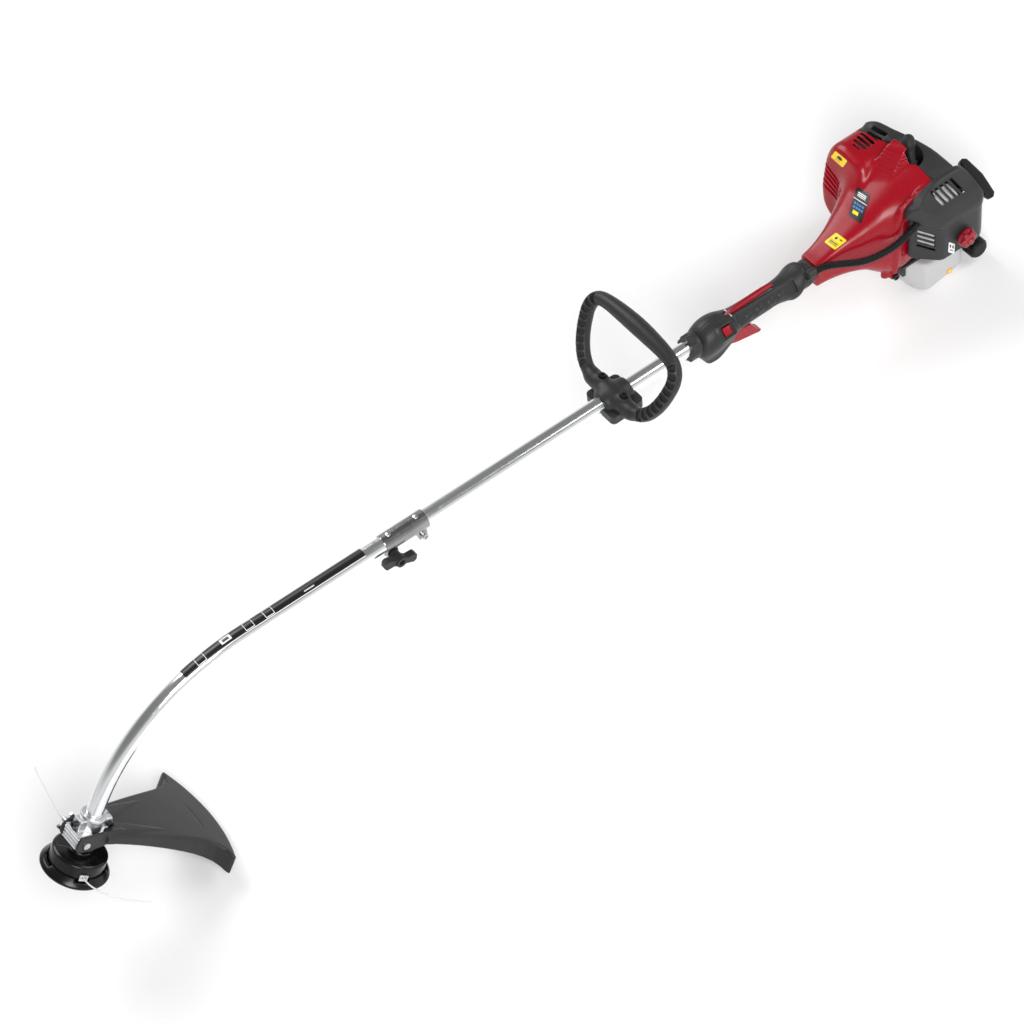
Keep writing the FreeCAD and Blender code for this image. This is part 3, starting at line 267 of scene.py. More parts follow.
def shader(name, colour, rough, metallic=0.0, tint=0.12, patch=35.0, grain=900.0, bump=0.15, depth=0.0001,
           stretch=(1, 1, 1), spread=0.15, specular=0.5, **sockets):
    """Procedural finish: slow drifts of colour and gloss, and a fine grain in the surface."""
    mat = bpy.data.materials.new(name)
    mat.use_nodes = True
    tree = mat.node_tree
    bsdf = tree.nodes["Principled BSDF"]
    coord = new_node(tree, "TexCoord")
    mapping = new_node(tree, "Mapping")
    mapping.inputs["Scale"].default_value = stretch
    if stretch != (1, 1, 1):
        mapping.inputs["Rotation"].default_value = (0, math.atan2(-AX.z, AX.x), 0)
    link(tree, coord.outputs["Object"], mapping.inputs["Vector"])
    vector = mapping.outputs["Vector"]
    broad = noise(tree, vector, patch, 3.0)
    fine = noise(tree, vector, grain, 2.0)
    mix = new_node(tree, "Mix")
    mix.data_type = "RGBA"
    mix.inputs["A"].default_value = (*[c * (1 - tint) for c in colour], 1)
    mix.inputs["B"].default_value = (*[min(c * (1 + tint), 1) for c in colour], 1)
    link(tree, remap(tree, broad, 0, 1), mix.inputs["Factor"])
    link(tree, mix.outputs["Result"], bsdf.inputs["Base Color"])
    gloss = remap(tree, fine, rough * (1 - spread), min(rough * (1 + spread), 1))
    link(tree, gloss, bsdf.inputs["Roughness"])
    relief = new_node(tree, "Bump")
    relief.inputs["Strength"].default_value = bump
    relief.inputs["Distance"].default_value = depth
    link(tree, fine, relief.inputs["Height"])
    link(tree, relief.outputs["Normal"], bsdf.inputs["Normal"])
    bsdf.inputs["Metallic"].default_value = metallic
    bsdf.inputs["Specular IOR Level"].default_value = specular
    for socket, value in sockets.items():
        bsdf.inputs[socket.replace("_", " ")].default_value = value
    return mat


RED = shader("red_shell", (0.28, 0.001, 0.009), 0.26, patch=14, tint=0.05, grain=1100, bump=0.2,
             specular=0.35)
RED_TRIM = shader("red_trim", (0.25, 0.001, 0.009), 0.3, patch=60, tint=0.06, grain=1500, bump=0.2)
GREY = shader("grey_shell", (0.026, 0.026, 0.027), 0.42, patch=25, tint=0.1, grain=1400, bump=0.5,
              depth=0.00015, specular=0.3)
GRIP = shader("grey_grip", (0.022, 0.022, 0.0225), 0.42, patch=30, tint=0.1, grain=1600, bump=0.6,
              depth=0.0002, specular=0.3)
BLACK = shader("black_trim", (0.006, 0.006, 0.006), 0.38, patch=50, tint=0.2, grain=1500, bump=0.4,
               specular=0.2)
HEAD_BLACK = shader("head_black", (0.004, 0.004, 0.004), 0.22, patch=40, tint=0.2, grain=900, bump=0.1,
                    specular=0.3)
RUBBER = shader("rubber", (0.016, 0.016, 0.016), 0.5, patch=60, tint=0.2, grain=1200, bump=0.5, depth=0.0002,
                specular=0.25)
TUBE = shader("tube_aluminium", (0.86, 0.87, 0.88), 0.16, 1.0, patch=3, tint=0.02, grain=700, bump=0.05,
              stretch=(0.02, 1, 1), spread=0.3)
CAST = shader("cast_aluminium", (0.6, 0.61, 0.62), 0.38, 1.0, patch=70, tint=0.1, grain=700, bump=0.6,
              depth=0.0003)
ZINC = shader("zinc_steel", (0.62, 0.63, 0.64), 0.28, 1.0, patch=80, tint=0.08, grain=1200, bump=0.2)
SLEEVE = shader("sleeve_steel", (0.3, 0.3, 0.305), 0.22, 1.0, patch=20, tint=0.15, grain=900, bump=0.2,
                stretch=(1, 0.05, 0.05))
YELLOW, ORANGE, BLUE, WHITE, LABEL = (
    shader("label_" + name, colour, rough, patch=200, tint=tint, grain=1500, bump=0.1)
    for name, colour, rough, tint in (
        ("yellow", (0.85, 0.62, 0.01), 0.4, 0.05), ("orange", (0.8, 0.22, 0.01), 0.4, 0.05),
        ("blue", (0.03, 0.2, 0.5), 0.4, 0.05), ("white", (0.78, 0.78, 0.78), 0.4, 0.03),
        ("black", (0.005, 0.005, 0.005), 0.3, 0.1)))
BLACK_SCREW = shader("black_screw", (0.03, 0.03, 0.032), 0.35, 0.7, patch=90, tint=0.2, grain=1500, bump=0.3)
STEEL = shader("machined_steel", (0.42, 0.42, 0.43), 0.35, 1.0, patch=60, tint=0.12, grain=1000, bump=0.3)
BRONZE = shader("bronze", (0.45, 0.3, 0.13), 0.4, 1.0, patch=60, tint=0.12, grain=1000, bump=0.3)
TANK = shader("tank_plastic", (0.5, 0.505, 0.505), 0.36, patch=18, tint=0.03, grain=700, bump=0.35,
              depth=0.0002, Subsurface_Weight=0.12, Subsurface_Scale=0.01)
CERAMIC = shader("plug_ceramic", (0.8, 0.8, 0.77), 0.2, patch=60, tint=0.03, grain=900, bump=0.1)
FOAM = shader("filter_foam", (0.06, 0.06, 0.06), 0.9, patch=120, tint=0.3, grain=700, bump=1.0, depth=0.0006)
ROPE = shader("rope", (0.6, 0.6, 0.57), 0.8, patch=300, tint=0.2, grain=1800, bump=0.8, depth=0.0004)
LINE = shader("trimmer_line", (0.66, 0.68, 0.66), 0.3, patch=200, tint=0.05, grain=1500, bump=0.1)

SLOT_FINISH = {
    "polished_tube": TUBE, "dark_steel": SLEEVE, "bright_steel": ZINC, "black_screw": BLACK_SCREW,
    "bare_steel": STEEL, "sintered_bronze": BRONZE, "cast_aluminium": CAST, "zinc_nut": ZINC,
    "grey_plastic": GREY, "black_plastic": BLACK, "head_plastic": HEAD_BLACK, "red_plastic": RED,
    "tank_plastic": TANK, "rubber": RUBBER, "ceramic": CERAMIC, "filter_foam": FOAM, "rope": ROPE,
    "line": LINE,
}


def finish_nodes():
    """Every CAD node gets the procedural finish of its slot."""
    for part in frame["record"]["subparts"]:
        node = NODES[part["node"]]
        node.data.materials.clear()
        finish = GRIP if part["node"] == "wing_knob" else SLOT_FINISH[part["material_slot"]]
        node.data.materials.append(finish)


finish_nodes()


# ---- stage ----

def area_light(name, place, aim, size, power):
    data = bpy.data.lights.new(name, "AREA")
    data.energy, data.size = power, size
    lamp = bpy.data.objects.new(name, data)
    bpy.context.scene.collection.objects.link(lamp)
    lamp.location = place
    lamp.rotation_mode = "QUATERNION"
    lamp.rotation_quaternion = (Vector(aim) - Vector(place)).to_track_quat("-Z", "Y")


FLOOR_GAP = 0.0004
SKY_LEAN = 0.1  # how far the sky's grey ramp tips towards +Y
SKY_STOPS = [(0.0, 1.0), (0.5, 1.0), (0.62, 0.8), (0.72, 0.3), (0.85, 0.24), (1.0, 0.34)]


def make_stage():
    """Pale floor, grey sky and three soft lamps."""
    bpy.ops.mesh.primitive_plane_add(size=30, location=(0, 0, -FLOOR_GAP))
    floor = bpy.context.object
    floor.name = "floor"
    floor.data.materials.append(shader("floor", (0.86, 0.86, 0.86), 0.65, patch=2, tint=0.01, grain=300))
    world = bpy.data.worlds.new("studio")
    bpy.context.scene.world = world
    world.use_nodes = True
    tree = world.node_tree
    coord = new_node(tree, "TexCoord")
    split = new_node(tree, "SeparateXYZ")
    link(tree, coord.outputs["Generated"], split.inputs["Vector"])
    lean = new_node(tree, "Math")
    lean.operation = "MULTIPLY_ADD"
    link(tree, split.outputs["Y"], lean.inputs[0])
    lean.inputs[1].default_value = SKY_LEAN
    link(tree, split.outputs["Z"], lean.inputs[2])
    ramp = new_node(tree, "ValToRGB")
    for position, _ in SKY_STOPS[1:-1]:
        ramp.color_ramp.elements.new(position)
    for element, (_, grey) in zip(ramp.color_ramp.elements, SKY_STOPS):
        element.color = (grey, grey, grey, 1)
    span = 1 + SKY_LEAN
    link(tree, remap(tree, lean.outputs[0], 0, 1, -span, span), ramp.inputs["Fac"])
    link(tree, ramp.outputs["Color"], tree.nodes["Background"].inputs["Color"])
    tree.nodes["Background"].inputs["Strength"].default_value = 0.85
    area_light("key", (-0.8, -2.6, 3.0), (0.1, 0, 0.1), 1.8, 125)
    area_light("fill", (2.8, -1.4, 2.2), (0.3, 0, 0.1), 2.0, 45)
    area_light("back", (0.0, 2.8, 2.8), (0.0, 0, 0.1), 2.2, 85)


make_stage()


# ---- cords ----

def spline(name, points, radius, body, material, stands_for):
    """A round cord on one smooth line, its control points in the shaft frame."""
    curve = bpy.data.curves.new(name, "CURVE")
    curve.dimensions = "3D"
    curve.bevel_depth, curve.bevel_resolution, curve.resolution_u = radius / 1000, 6, 12
    curve.use_fill_caps = True
    line = curve.splines.new("NURBS")
    line.points.add(len(points) - 1)
    for point, place in zip(line.points, row(points)):
        point.co = (*place, 1)
    line.order_u = 3
    line.use_endpoint_u = True
    piece = bpy.data.objects.new(name, curve)
    bpy.context.scene.collection.objects.link(piece)
    return finish_piece(piece, body, material, stands_for)


def along_spline(points):
    """Points of the smooth line itself, in metres."""
    guide = spline("guide", points, 0.0, None, LINE, ())
    mesh = bpy.data.meshes.new_from_object(guide)
    found = [v.co.copy() for v in mesh.vertices]
    bpy.data.objects.remove(guide)
    bpy.data.meshes.remove(mesh)
    return found


def length_of(points):
    return sum((b - a).length for a, b in zip(points, points[1:]))


NEAR_LINE = [(-16, -38, -108), (-17, -49, -108.5), (-12, -63, -109.5), (0, -79, -110.5), (17, -94, -110.5),
             (37, -106, -109.5), (56, -114, -108)]
FAR_LINE = [(15.5, 38, -108), (20, 60, -108.4), (27.5, 96, -109.2), (34.5, 134, -108.8), (42, 176, -107),
            (45, 191, -106)]
CONDUIT = [(626, -21, 19), (644, -22.5, 20.5), (666, -37, 21), (696, -57, 20), (730, -71, 30),
           (760, -78.5, 46), (784, -79, 62)]
FUEL_HOSE = [(804, -58, 18), (804, -58, 2), (803, -50, -16), (804, -44, -34), (806, -43, -50),
             (806, -43, -61.5)]


def make_lines():
    for name, route in (("line_near", NEAR_LINE), ("line_far", FAR_LINE)):
        points = from_head(route)
        piece = spline(name, points, 1.2, "cutting_head", LINE, [name.replace("line_", "line_end_")])
        length_of(along_spline(points))


def make_conduit():
    """Ribbed conduit: a tube whose radius swells at each of its rings."""
    path = along_spline(CONDUIT)
    total = length_of(path)
    pitch, per, around = 0.0041, 8, 32
    valley, rib = 0.0046, 0.0015
    count = int(total / pitch) * per
    marks = np.cumsum([0] + [(b - a).length for a, b in zip(path, path[1:])])
    co = np.array(path)
    s = np.linspace(0, total, count + 1)
    centre = np.stack([np.interp(s, marks, co[:, i]) for i in range(3)], 1)
    forward = np.gradient(centre, axis=0)
    forward /= np.linalg.norm(forward, axis=1)[:, None]
    side = np.cross(forward, (0, 0, 1))
    side /= np.linalg.norm(side, axis=1)[:, None]
    up = np.cross(side, forward)
    turns = np.linspace(0, 2 * math.pi, around, endpoint=False)
    wave = 0.5 + 0.5 * np.cos(2 * math.pi * s / pitch)
    radius = valley + rib * np.sqrt(wave)
    ring = np.cos(turns)[None, :, None] * side[:, None] + np.sin(turns)[None, :, None] * up[:, None]
    points = centre[:, None] + ring * radius[:, None, None]
    quads = tube_quads(count + 1, around)
    piece = new_object("throttle_conduit_ribbed", points.reshape(-1, 3), [quads], ROOT, BLACK,
                       lambda p: p, ["throttle_conduit"])


def tube_quads(rings, around):
    """Quads between neighbouring rings of points."""
    i, j = np.meshgrid(np.arange(rings - 1), np.arange(around), indexing="ij")
    k = (j + 1) % around
    low, high = i * around, (i + 1) * around
    return np.stack([low + j, low + k, high + k, high + j], -1).reshape(-1, 4)


def make_fuel_hose():
    piece = spline("fuel_hose", FUEL_HOSE, 2.0, ROOT, RUBBER, ["fuel_lines"])
    length_of(along_spline(FUEL_HOSE))


make_lines()
make_conduit()
make_fuel_hose()


# ---- engine covers ----

SPLIT_X = 829.0  # joint between the red shroud and the grey top cover
TONGUE = [(811.6, 94), (840, 94), (840, 31), (829, 31), (827, 36.4), (819, 45.6)]


def along(x, marks, values):
    """Smooth curve through values at marks along X."""
    x = np.clip(x, marks[0], marks[-1])
    i = np.clip(np.searchsorted(marks, x) - 1, 0, len(marks) - 2)
    m, v = np.array(marks, float), np.array(values, float)
    slope = np.gradient(v, m)
    h = m[i + 1] - m[i]
    t = (x - m[i]) / h
    a, b = v[i], v[i + 1]
    return (a * (2 * t**3 - 3 * t**2 + 1) + b * (3 * t**2 - 2 * t**3)
            + h * slope[i] * (t**3 - 2 * t**2 + t) + h * slope[i + 1] * (t**3 - t**2)).astype(np.float32)


def lofted(g, marks, near, far, low, high, power):
    """Rounded-square section that changes along X."""
    a, b, c, d = (along(g.x, marks, v) for v in (near, far, low, high))
    half_y, half_z = (b - a) / 2, (d - c) / 2
    u, w = np.abs(g.y - (a + b) / 2) / half_y, np.abs(g.z - (c + d) / 2) / half_z
    r = (u**power + w**power) ** (1 / power)
    return (r - 1) * np.minimum(half_y, half_z) * 0.8


def chain(g, points, r, k):
    """Rod along a broken line."""
    return either(k, *[capsule(g, a, b, r) for a, b in zip(points, points[1:])])


def crown_section(g):
    """The engine's top in the YZ plane, for the shroud and its cover."""
    return convex(g.y, g.z, [(-62, 40), (-62, 105), (-52, 110.5), (20, 120), (58, 125), (84, 122),
                             (97, 110), (103, 80), (103, 40)], 6)


def shroud_field(g):
    """The shroud's outer form."""
    power = along(g.x, (632, 690, 790), (7.0, 4.4, 3.3))
    body = lofted(g, (632, 655, 684, 716, 750, 776, 800, 836), (-19, -21.5, -28, -42, -57, -62, -62, -62),
                  (19, 21, 28, 41, 58, 62, 64, 64), (-24, -25, -29, -37, -62, -69, -66, -60),
                  (20, 27, 40, 60, 84, 98, 105, 108), power)
    front = smax(plane(g, (753, 0, 60), (-1, 0.0, 0.16)), plane(g, (762, 60, 118), (-0.75, 0, 1)), 10)
    block_side = convex(g.y, g.z, [(24, 112), (46, 119.5), (88, 119.5), (106, 96), (108, 12), (90, -16),
                                   (24, -30)], 16)
    muffler_box = both(12, front, block_side)
    shoulder = both(9, crown_section(g), plane(g, (829, -34, 113.5), (-0.5, 0, 0.86)), g.y - 14,
                    plane(g, (781, -61, 96), (-0.86, -0.2, 0.47)))
    low = smin(smin(body, shoulder, 14), muffler_box, 16)
    corner = (829, -1, 134.4)
    scoop = both(1.5, plane(g, corner, (-0.57, -0.2, 0.79)), plane(g, corner, (-0.17, -0.85, 0.5)))
    scoop = both(4, scoop, plane(g, (830, 0, 134.6), (-0.1, 0.08, 1)), g.y - 27, 62 - g.z,
                 plane(g, (772, 6, 98), (-0.85, -0.25, 0.5)))
    form = smin(low, scoop, 3)
    rim = chain(g, [(829, -60, 101), (800, -61, 101), (781, -61, 97), (768, -60.5, 87), (763, -60.5, 70),
                    (762, -60.5, 5), (757, -57, -46)], 3.2, 3)
    form = smin(form, rim, 7)
    form = less(form, block(g, (769, 800), (-80, -58.5), (-16, 60), 3), 3)
    ribs = unit((low - scoop - 1) / 3) * unit((128 - g.z) / 4)
    rib_pitch = 4.2
    wave = np.abs(((g.z - 98) / rib_pitch) % 1.0 - 0.5) * 2
    form = form + ribs * unit(0.7 - wave) * 1.9
    return smax(form, 635.3 - g.x, 1.5)


def shroud_cuts(g):
    """Openings of the shroud."""
    tongue = both(0, convex(g.x, g.y, TONGUE, 0, 0.6), 104 - g.z)
    well = convex(g.x, g.y, [(824, -2), (836, -2), (836, -27), (831, -26), (823, -15)], 1)
    return [SPLIT_X - g.x, tongue, both(1, well, slab(g.z, 99, 160)),
            block(g, (770, 850), (-80, 80), (-90, -56), 2),
            block(g, (790, 850), (-80, 80), (-60, -46), 2),
            block(g, (790, 850), (-70, -50), (20, 72), 2),
            block(g, (804, 850), (-70, -50), (70, 88), 2),
            cylinder(g, (600, 0, 0), (665, 0, 0), 15.0),
            cylinder(g, (800, 90, 40), (800, 120, 40), 9.0)]


def make_shroud():
    g = Grid((628, -70, -90), (832, 114, 138), 0.95)
    outer = shroud_field(g)
    face = plane(g, (756.5, 0, 60), (-1, 0, 0.16))
    for level, rise, reach in ((57, 0.4, 103), (50, 0.32, 103), (42, 0.28, 103), (34, 0.22, 101),
                               (26.5, 0.14, 97)):
        sweep = np.abs(g.z - level - rise * (g.y - 66)) - 2.6
        louvre = both(1.5, sweep, slab(g.y, 64, 140), -face - 8 + np.clip(g.y - reach, 0, 50))
        outer = less(outer, louvre, 0.8)
    shell = less(outer, outer + WALL)
    for cut in shroud_cuts(g):
        shell = less(shell, cut, 0.8)
    slots = [(784, 2.2, 54, 70), (791.8, 2.6, 50, 76), (800.0, 2.7, 50, 79), (808.4, 2.6, 50, 80),
             (816.6, 2.3, 52, 79)]
    for x, half, near, far in slots:
        tapers = half < 2.5
        width = half * (np.clip((g.y - near) / (far - near), 0.5, 1) if tapers else 1.0)
        lean = np.abs(g.x - x + 0.05 * (g.y - 65)) - width
        shell = less(shell, both(1.0, lean, slab(g.y, near, far), slab(g.z, 92, 130)), 0.6)
    lug = smin(cylinder(g, (766, -47, -70), (766, -33, -70), 7.5, 1.5),
               block(g, (757, 775), (-46, -34), (-70, -46), 2), 3)
    lug = smin(lug, cylinder(g, (751, -40, -68), (756, -36, -50), 6, 2), 4)
    shell = smin(shell, less(lug, outer + WALL * 0.5), 2.5)
    shell = less(shell, cylinder(g, (766, -60, -70), (766, -46, -70), 5.6), 0.6)
    carve("shroud_shell", g, shell, ROOT, RED, ["engine_shroud"])


def make_top_cover():
    g = Grid((806, -66, 36), (892, 108, 136), 1.1)
    back = both(7, plane(g, (871.5, 0, 114), (0.786, 0, 0.618)),
                plane(g, (872, 0, 112), (0.945, 0, 0.327)), plane(g, (886, -40, 60), (0.934, 0.357, 0)),
                plane(g, (860, 28, 60), (0.9375, 0.347, 0)))
    crown = both(6, crown_section(g), back, SPLIT_X + 0.4 - g.x)
    tongue = both(1, shroud_field(g), convex(g.x, g.y, TONGUE, 0), 105 - g.z)
    outer = smin(crown, tongue, 9)
    outer = both(0.8, outer, either(0, convex(g.x, g.y, TONGUE, 0), SPLIT_X + 0.4 - g.x))
    for y in (-45, -31, -16, -1, 14, 28):
        outer = less(outer, capsule(g, (864, y - 3, 123.5), (881, y + 2, 107), 4.6), 1.4)
    shell = less(outer, outer + WALL)
    for x, near, far in ((819.3, 49, 75), (829.6, 48, 76)):
        lean = np.abs(g.x - x + 0.18 * (g.y - 62)) - 3.1
        shell = less(shell, both(1.0, lean, slab(g.y, near, far), slab(g.z, 100, 136)), 0.6)
    recess = convex(g.x, g.y, [(820, 24), (845, 24), (855, 13), (855, -4), (847, -20), (833, -27),
                               (820, -27)], 4)
    shell = less(shell, both(2, recess, slab(g.z, 98, 160)), 1.0)
    carve("crown_cover", g, shell, ROOT, GREY, ["top_cover"])


def side_cover_field(g):
    """Outer form of the air filter's cover: a low box under a sloped brow."""
    low = both(3, convex(g.x, g.z, [(777, -20), (777, 62), (903, 62), (903, -16), (896, -26),
                                    (782, -24)], 3),
               convex(g.x, g.y, [(777, -50), (903, -50), (903, -92), (888, -103), (812, -103),
                                 (777, -66)], 5))
    brow = both(2, convex(g.x, g.z, [(768, 74), (772, 88), (792, 102), (828, 113), (871, 113), (882, 106),
                                     (899, 60), (900, 46), (812, 48), (786, 60)], 3),
                convex(g.x, g.y, [(767, -50), (905, -50), (905, -93), (889, -106), (811, -106),
                                  (767, -70)], 4))
    slope = both(3, plane(g, (840, -106, 58), (0, -0.926, 0.377)),
                 plane(g, (840, -95.5, 83), (0, -0.763, 0.646)), plane(g, (840, -69, 113), (0, -0.1, 1)))
    return smin(low, smax(brow, slope, 1.5), 0.8)


def make_side_cover():
    g = Grid((762, -110, -30), (908, -58, 118), 1.1)
    outer = side_cover_field(g)
    shell = less(smax(outer, g.y + 62.3, 0.8), outer + WALL)
    for i in range(5):
        centre = plane(g, (817.6 + 9.9 * i, -84, 0), (1, 0.55, 0))
        shell = less(shell, both(1.2, centre - 2.4, -centre - 2.4, slab(g.y, -93, -74),
                                 slab(g.z, 70, 125)), 0.6)
    across = (g.x - 777) * 0.687 - (g.y + 66) * 0.726  # along the cover's slanted front corner
    for z in (33, 23, 13, 3):
        drop = np.abs(g.z - z + 0.33 * (across - 26)) - 2.6
        shell = less(shell, both(1.2, drop, slab(across, 12, 40), g.x - 812, slab(g.z, -12, 48)), 0.6)
    shell = less(shell, cylinder(g, (854, -112, 5), (854, -90, 5), 4.0))
    carve("filter_cover", g, shell, ROOT, GREY, ["side_cover"])


def baffle(name, corner, edges, material):
    """Plain slab from one corner and its three edges."""
    c, (a, b, d) = np.array(corner, float), [np.array(e, float) for e in edges]
    points = np.array([c + i * a + j * b + k * d for k in (0, 1) for j in (0, 1) for i in (0, 1)])
    faces = np.array([(0, 2, 3, 1), (4, 5, 7, 6), (0, 1, 5, 4), (2, 6, 7, 3), (0, 4, 6, 2), (1, 3, 7, 5)])
    new_object(name, points, [faces], ROOT, material, smooth=False)


def make_baffles():
    """Bright plates behind the side cover's slots and vents."""
    baffle("choke_plate", (790, -71, -4), ((17.5, -18.5, 0), (0, 0, 44), (0.7, 0.7, 0)), ZINC)
    baffle("filter_plate", (822, -87, 74.5), ((36, 0, 0), (0, 19, 16.5), (0, 0.7, -0.7)), STEEL)


def make_tank():
    g = Grid((782, -80, -130), (922, 54, -58), 1.3)
    side = convex(g.x, g.z, [(786, -82), (786, -62), (904, -62), (914, -70), (918, -88), (908, -140),
                             (804, -140)], 9)
    ground = (0.1853 * g.x - 271.3 - g.z) / 1.017  # the floor's slope in the shaft frame
    plan = facet(g.x, g.y, (814, -75), (790, -38))
    neck_corner = both(4, g.y + 54, 880 - g.x)
    form = less(both(8, side, slab(g.y, -71.5, 50), ground, plan), neck_corner, 3)
    neck = cylinder(g, (903, -50, -76), (903, -64, -76), 12.5, 2)
    carve("tank_shell", g, smin(form, neck, 3), ROOT, TANK, ["fuel_tank"])


def make_boot():
    g = Grid((820, -24, 96), (860, 28, 145), 0.7)
    form = either(4, capsule(g, (833, 14, 125), (843, 11, 130), 7.0, 8.5),
                  capsule(g, (843, 11, 130), (841, 6, 126), 8.6),
                  capsule(g, (841, 6, 126), (834, -9, 102), 7.4, 6.0))
    form = smin(form, cylinder(g, (832, -12, 98), (834.5, -7, 105), 8.6, 1.5), 1.5)
    carve("spark_boot", g, form, ROOT, RUBBER, ["plug_boot"])


def make_cover_knob():
    g = Grid((835, -123, -14), (873, -100, 24), 0.7)
    dx, dz = g.x - 854, g.z - 5
    radius, turn = np.sqrt(dx * dx + dz * dz), np.arctan2(dz, dx)
    dome = 121 - 0.014 * radius**2
    rosette = radius - 13.6 - 2.6 * np.cos(6 * turn) * unit((radius - 5) / 6)
    lobes = both(2.5, rosette, -g.y - dome, g.y + 108.5)
    hollow = capsule(g, (854, -124, 5), (854, -121.5, 5), 6.5)
    rim = both(1.2, radius - 15.8, slab(g.y, -111.5, -107))
    stem = both(0.5, radius - 8.6, slab(g.y, -109, -105.3))
    form = smin(smin(less(lobes, hollow, 2), rim, 1.5), stem, 1)
    carve("lobed_knob", g, form, "filter_knob", RED_TRIM, ["cover_knob"])


make_shroud()
make_top_cover()
make_side_cover()
make_baffles()
make_tank()
make_boot()
make_cover_knob()


# ---- rear grip and loop handle ----

SWITCH_TILT = math.radians(33)
LOOP_LEAN = math.radians(28)
FERRULE = (-21, 19)  # where the throttle conduit leaves the grip's collar, in Y and Z


def tilted(g):
    """Outward and crosswise coordinates of the stop switch's side of the grip."""
    c, s = math.cos(SWITCH_TILT), math.sin(SWITCH_TILT)
    return -g.y * c + g.z * s, g.y * s + g.z * c


def make_grip():
    g = Grid((398, -33, -52), (634, 33, 34), 0.8)
    lean = 0.36 + (0.62 - 0.36) * unit((g.x - 500) / 80)  # the grip's ends are cut aslant
    station = g.x - lean * g.z * unit(np.abs(g.x - 515) / 40 - 0.4)
    radius = along(station, (411, 415, 423, 435, 451, 467, 484, 500, 540, 572, 588, 597, 603, 608, 613),
                   (16, 21.5, 26.3, 28.8, 27.6, 23.4, 19.6, 18.6, 18.0, 18.6, 21.8, 25.0, 25.2, 22, 18))
    ring = np.sqrt(g.y**2 + g.z**2)
    form = smax(ring - radius, slab(station, 411, 613), 2)
    heel = both(6, convex(g.x, g.z, [(417, -34), (417, 0), (474, 0), (474, -24), (458, -38), (442, -46),
                                     (424, -44)], 4), slab(g.y, -18, 18))
    form = smin(form, heel, 12)
    out, across = tilted(g)
    form = smin(form, both(3, slab(g.x, 443, 472), slab(across, -12.5, 12.5), out - 28.0, 8 - out), 5)
    form = less(form, both(1.5, slab(g.x, 447, 468), slab(across, -10, 10), 26.0 - out), 0.8)
    flat = both(2, slab(g.x, 484, 594), slab(across, -12, 10), 16.4 - out)
    form = less(form, flat, 2)
    for x in (506, 527, 549, 570):
        lobe = np.sqrt(((g.x - x) / 8) ** 2 + ((across + 3) / 5.6) ** 2 + ((out - 15.8) / 3.0) ** 2) - 1
        form = smin(form, lobe * 3, 0.8)
    for x in (497, 517, 538, 560, 582):
        form = less(form, capsule(g, (x, -14, -26.5), (x, 14, -26.5), 9.6), 4)
    form = form + unit(1 - np.abs(g.y) / 0.9) * unit(g.z) * 0.8
    form = less(form, cylinder(g, (380, 0, 0), (640, 0, 0), TUBE_R))
    form = less(form, block(g, (442, 536), (-7.7, 7.7), (-60, -12), 0.5), 0.5)
    form = less(form, block(g, (468.5, 564), (-3.8, 3.8), (12, 40), 0.4), 0.5)
    form = less(form, both(0.5, slab(g.x, 449, 465), slab(across, -8, 8), 8 - out), 0.4)
    carve("grip_body", g, form, ROOT, GRIP, ["grip_left", "grip_right"])


def make_lever():
    """Slim lock-out blade with a rounded back."""
    g = Grid((466, -6, 12), (566, 6, 30), 0.5)
    top = along(g.x, (470, 480, 500, 530, 552, 562), (20.5, 23.5, 26.0, 27.4, 26.4, 24.6))
    blade = both(1.4, slab(g.x, 470.2, 561.8), slab(g.y, -3.3, 3.3), g.z - top,
                 14.8 + 0.078 * np.clip(g.x - 482, 0, 100) - g.z)
    carve("lockout_blade", g, blade, "lever", RED_TRIM, ["lockout_lever"])


def make_grip_clamps():
    """Notched ring before the grip, and the collar with the conduit's ferrule behind it."""
    g = Grid((382, -26, -26), (414, 26, 26), 0.8)
    ring = np.sqrt(g.y**2 + g.z**2)
    turn = np.arctan2(g.z, g.y)
    station = g.x - 0.2 * g.z
    notches = 1.6 * unit(2.2 * np.abs(np.sin(turn * 4)) - 0.9) * unit((404 - station) / 2)
    form = both(1.2, ring - 20.5 + notches, slab(station, 394, 411))
    form = smin(form, cylinder(g, (396, 0, 20), (404, 0, 20), 4.0, 1), 1.5)
    form = less(form, cylinder(g, (370, 0, 0), (640, 0, 0), TUBE_R))
    carve("front_ring", g, form, ROOT, GREY, ["grip_clamps"])
    g = Grid((598, -30, -30), (636, 24, 30), 0.8)
    ring = np.sqrt(g.y**2 + g.z**2)
    station = g.x - 0.45 * g.z
    form = both(1.5, ring - 20.5, slab(station, 611, 628), g.x - 634)
    lug = both(1.5, slab(station, 613, 626), slab(g.y, -9, 9), slab(g.z, -28, -12))
    ferrule = smin(cylinder(g, (614, *FERRULE), (631.5, *FERRULE), 7.8, 1.5),
                   block(g, (614, 629), (-22, -8), (8, 20), 2), 2)
    form = either(2, form, lug, ferrule)
    groove = both(0.5, slab(station, 618.5, 620.5), 19.2 - ring)
    form = less(form, groove, 0.5)
    form = less(form, block(g, (598, 640), (-1.5, 1.5), (-32, -10)), 0.4)
    form = less(form, cylinder(g, (590, 0, 0), (640, 0, 0), TUBE_R))
    form = less(form, cylinder(g, (625.5, *FERRULE), (640, *FERRULE), 6.1))
    carve("rear_collar", g, form, ROOT, GREY, ["grip_clamps"])


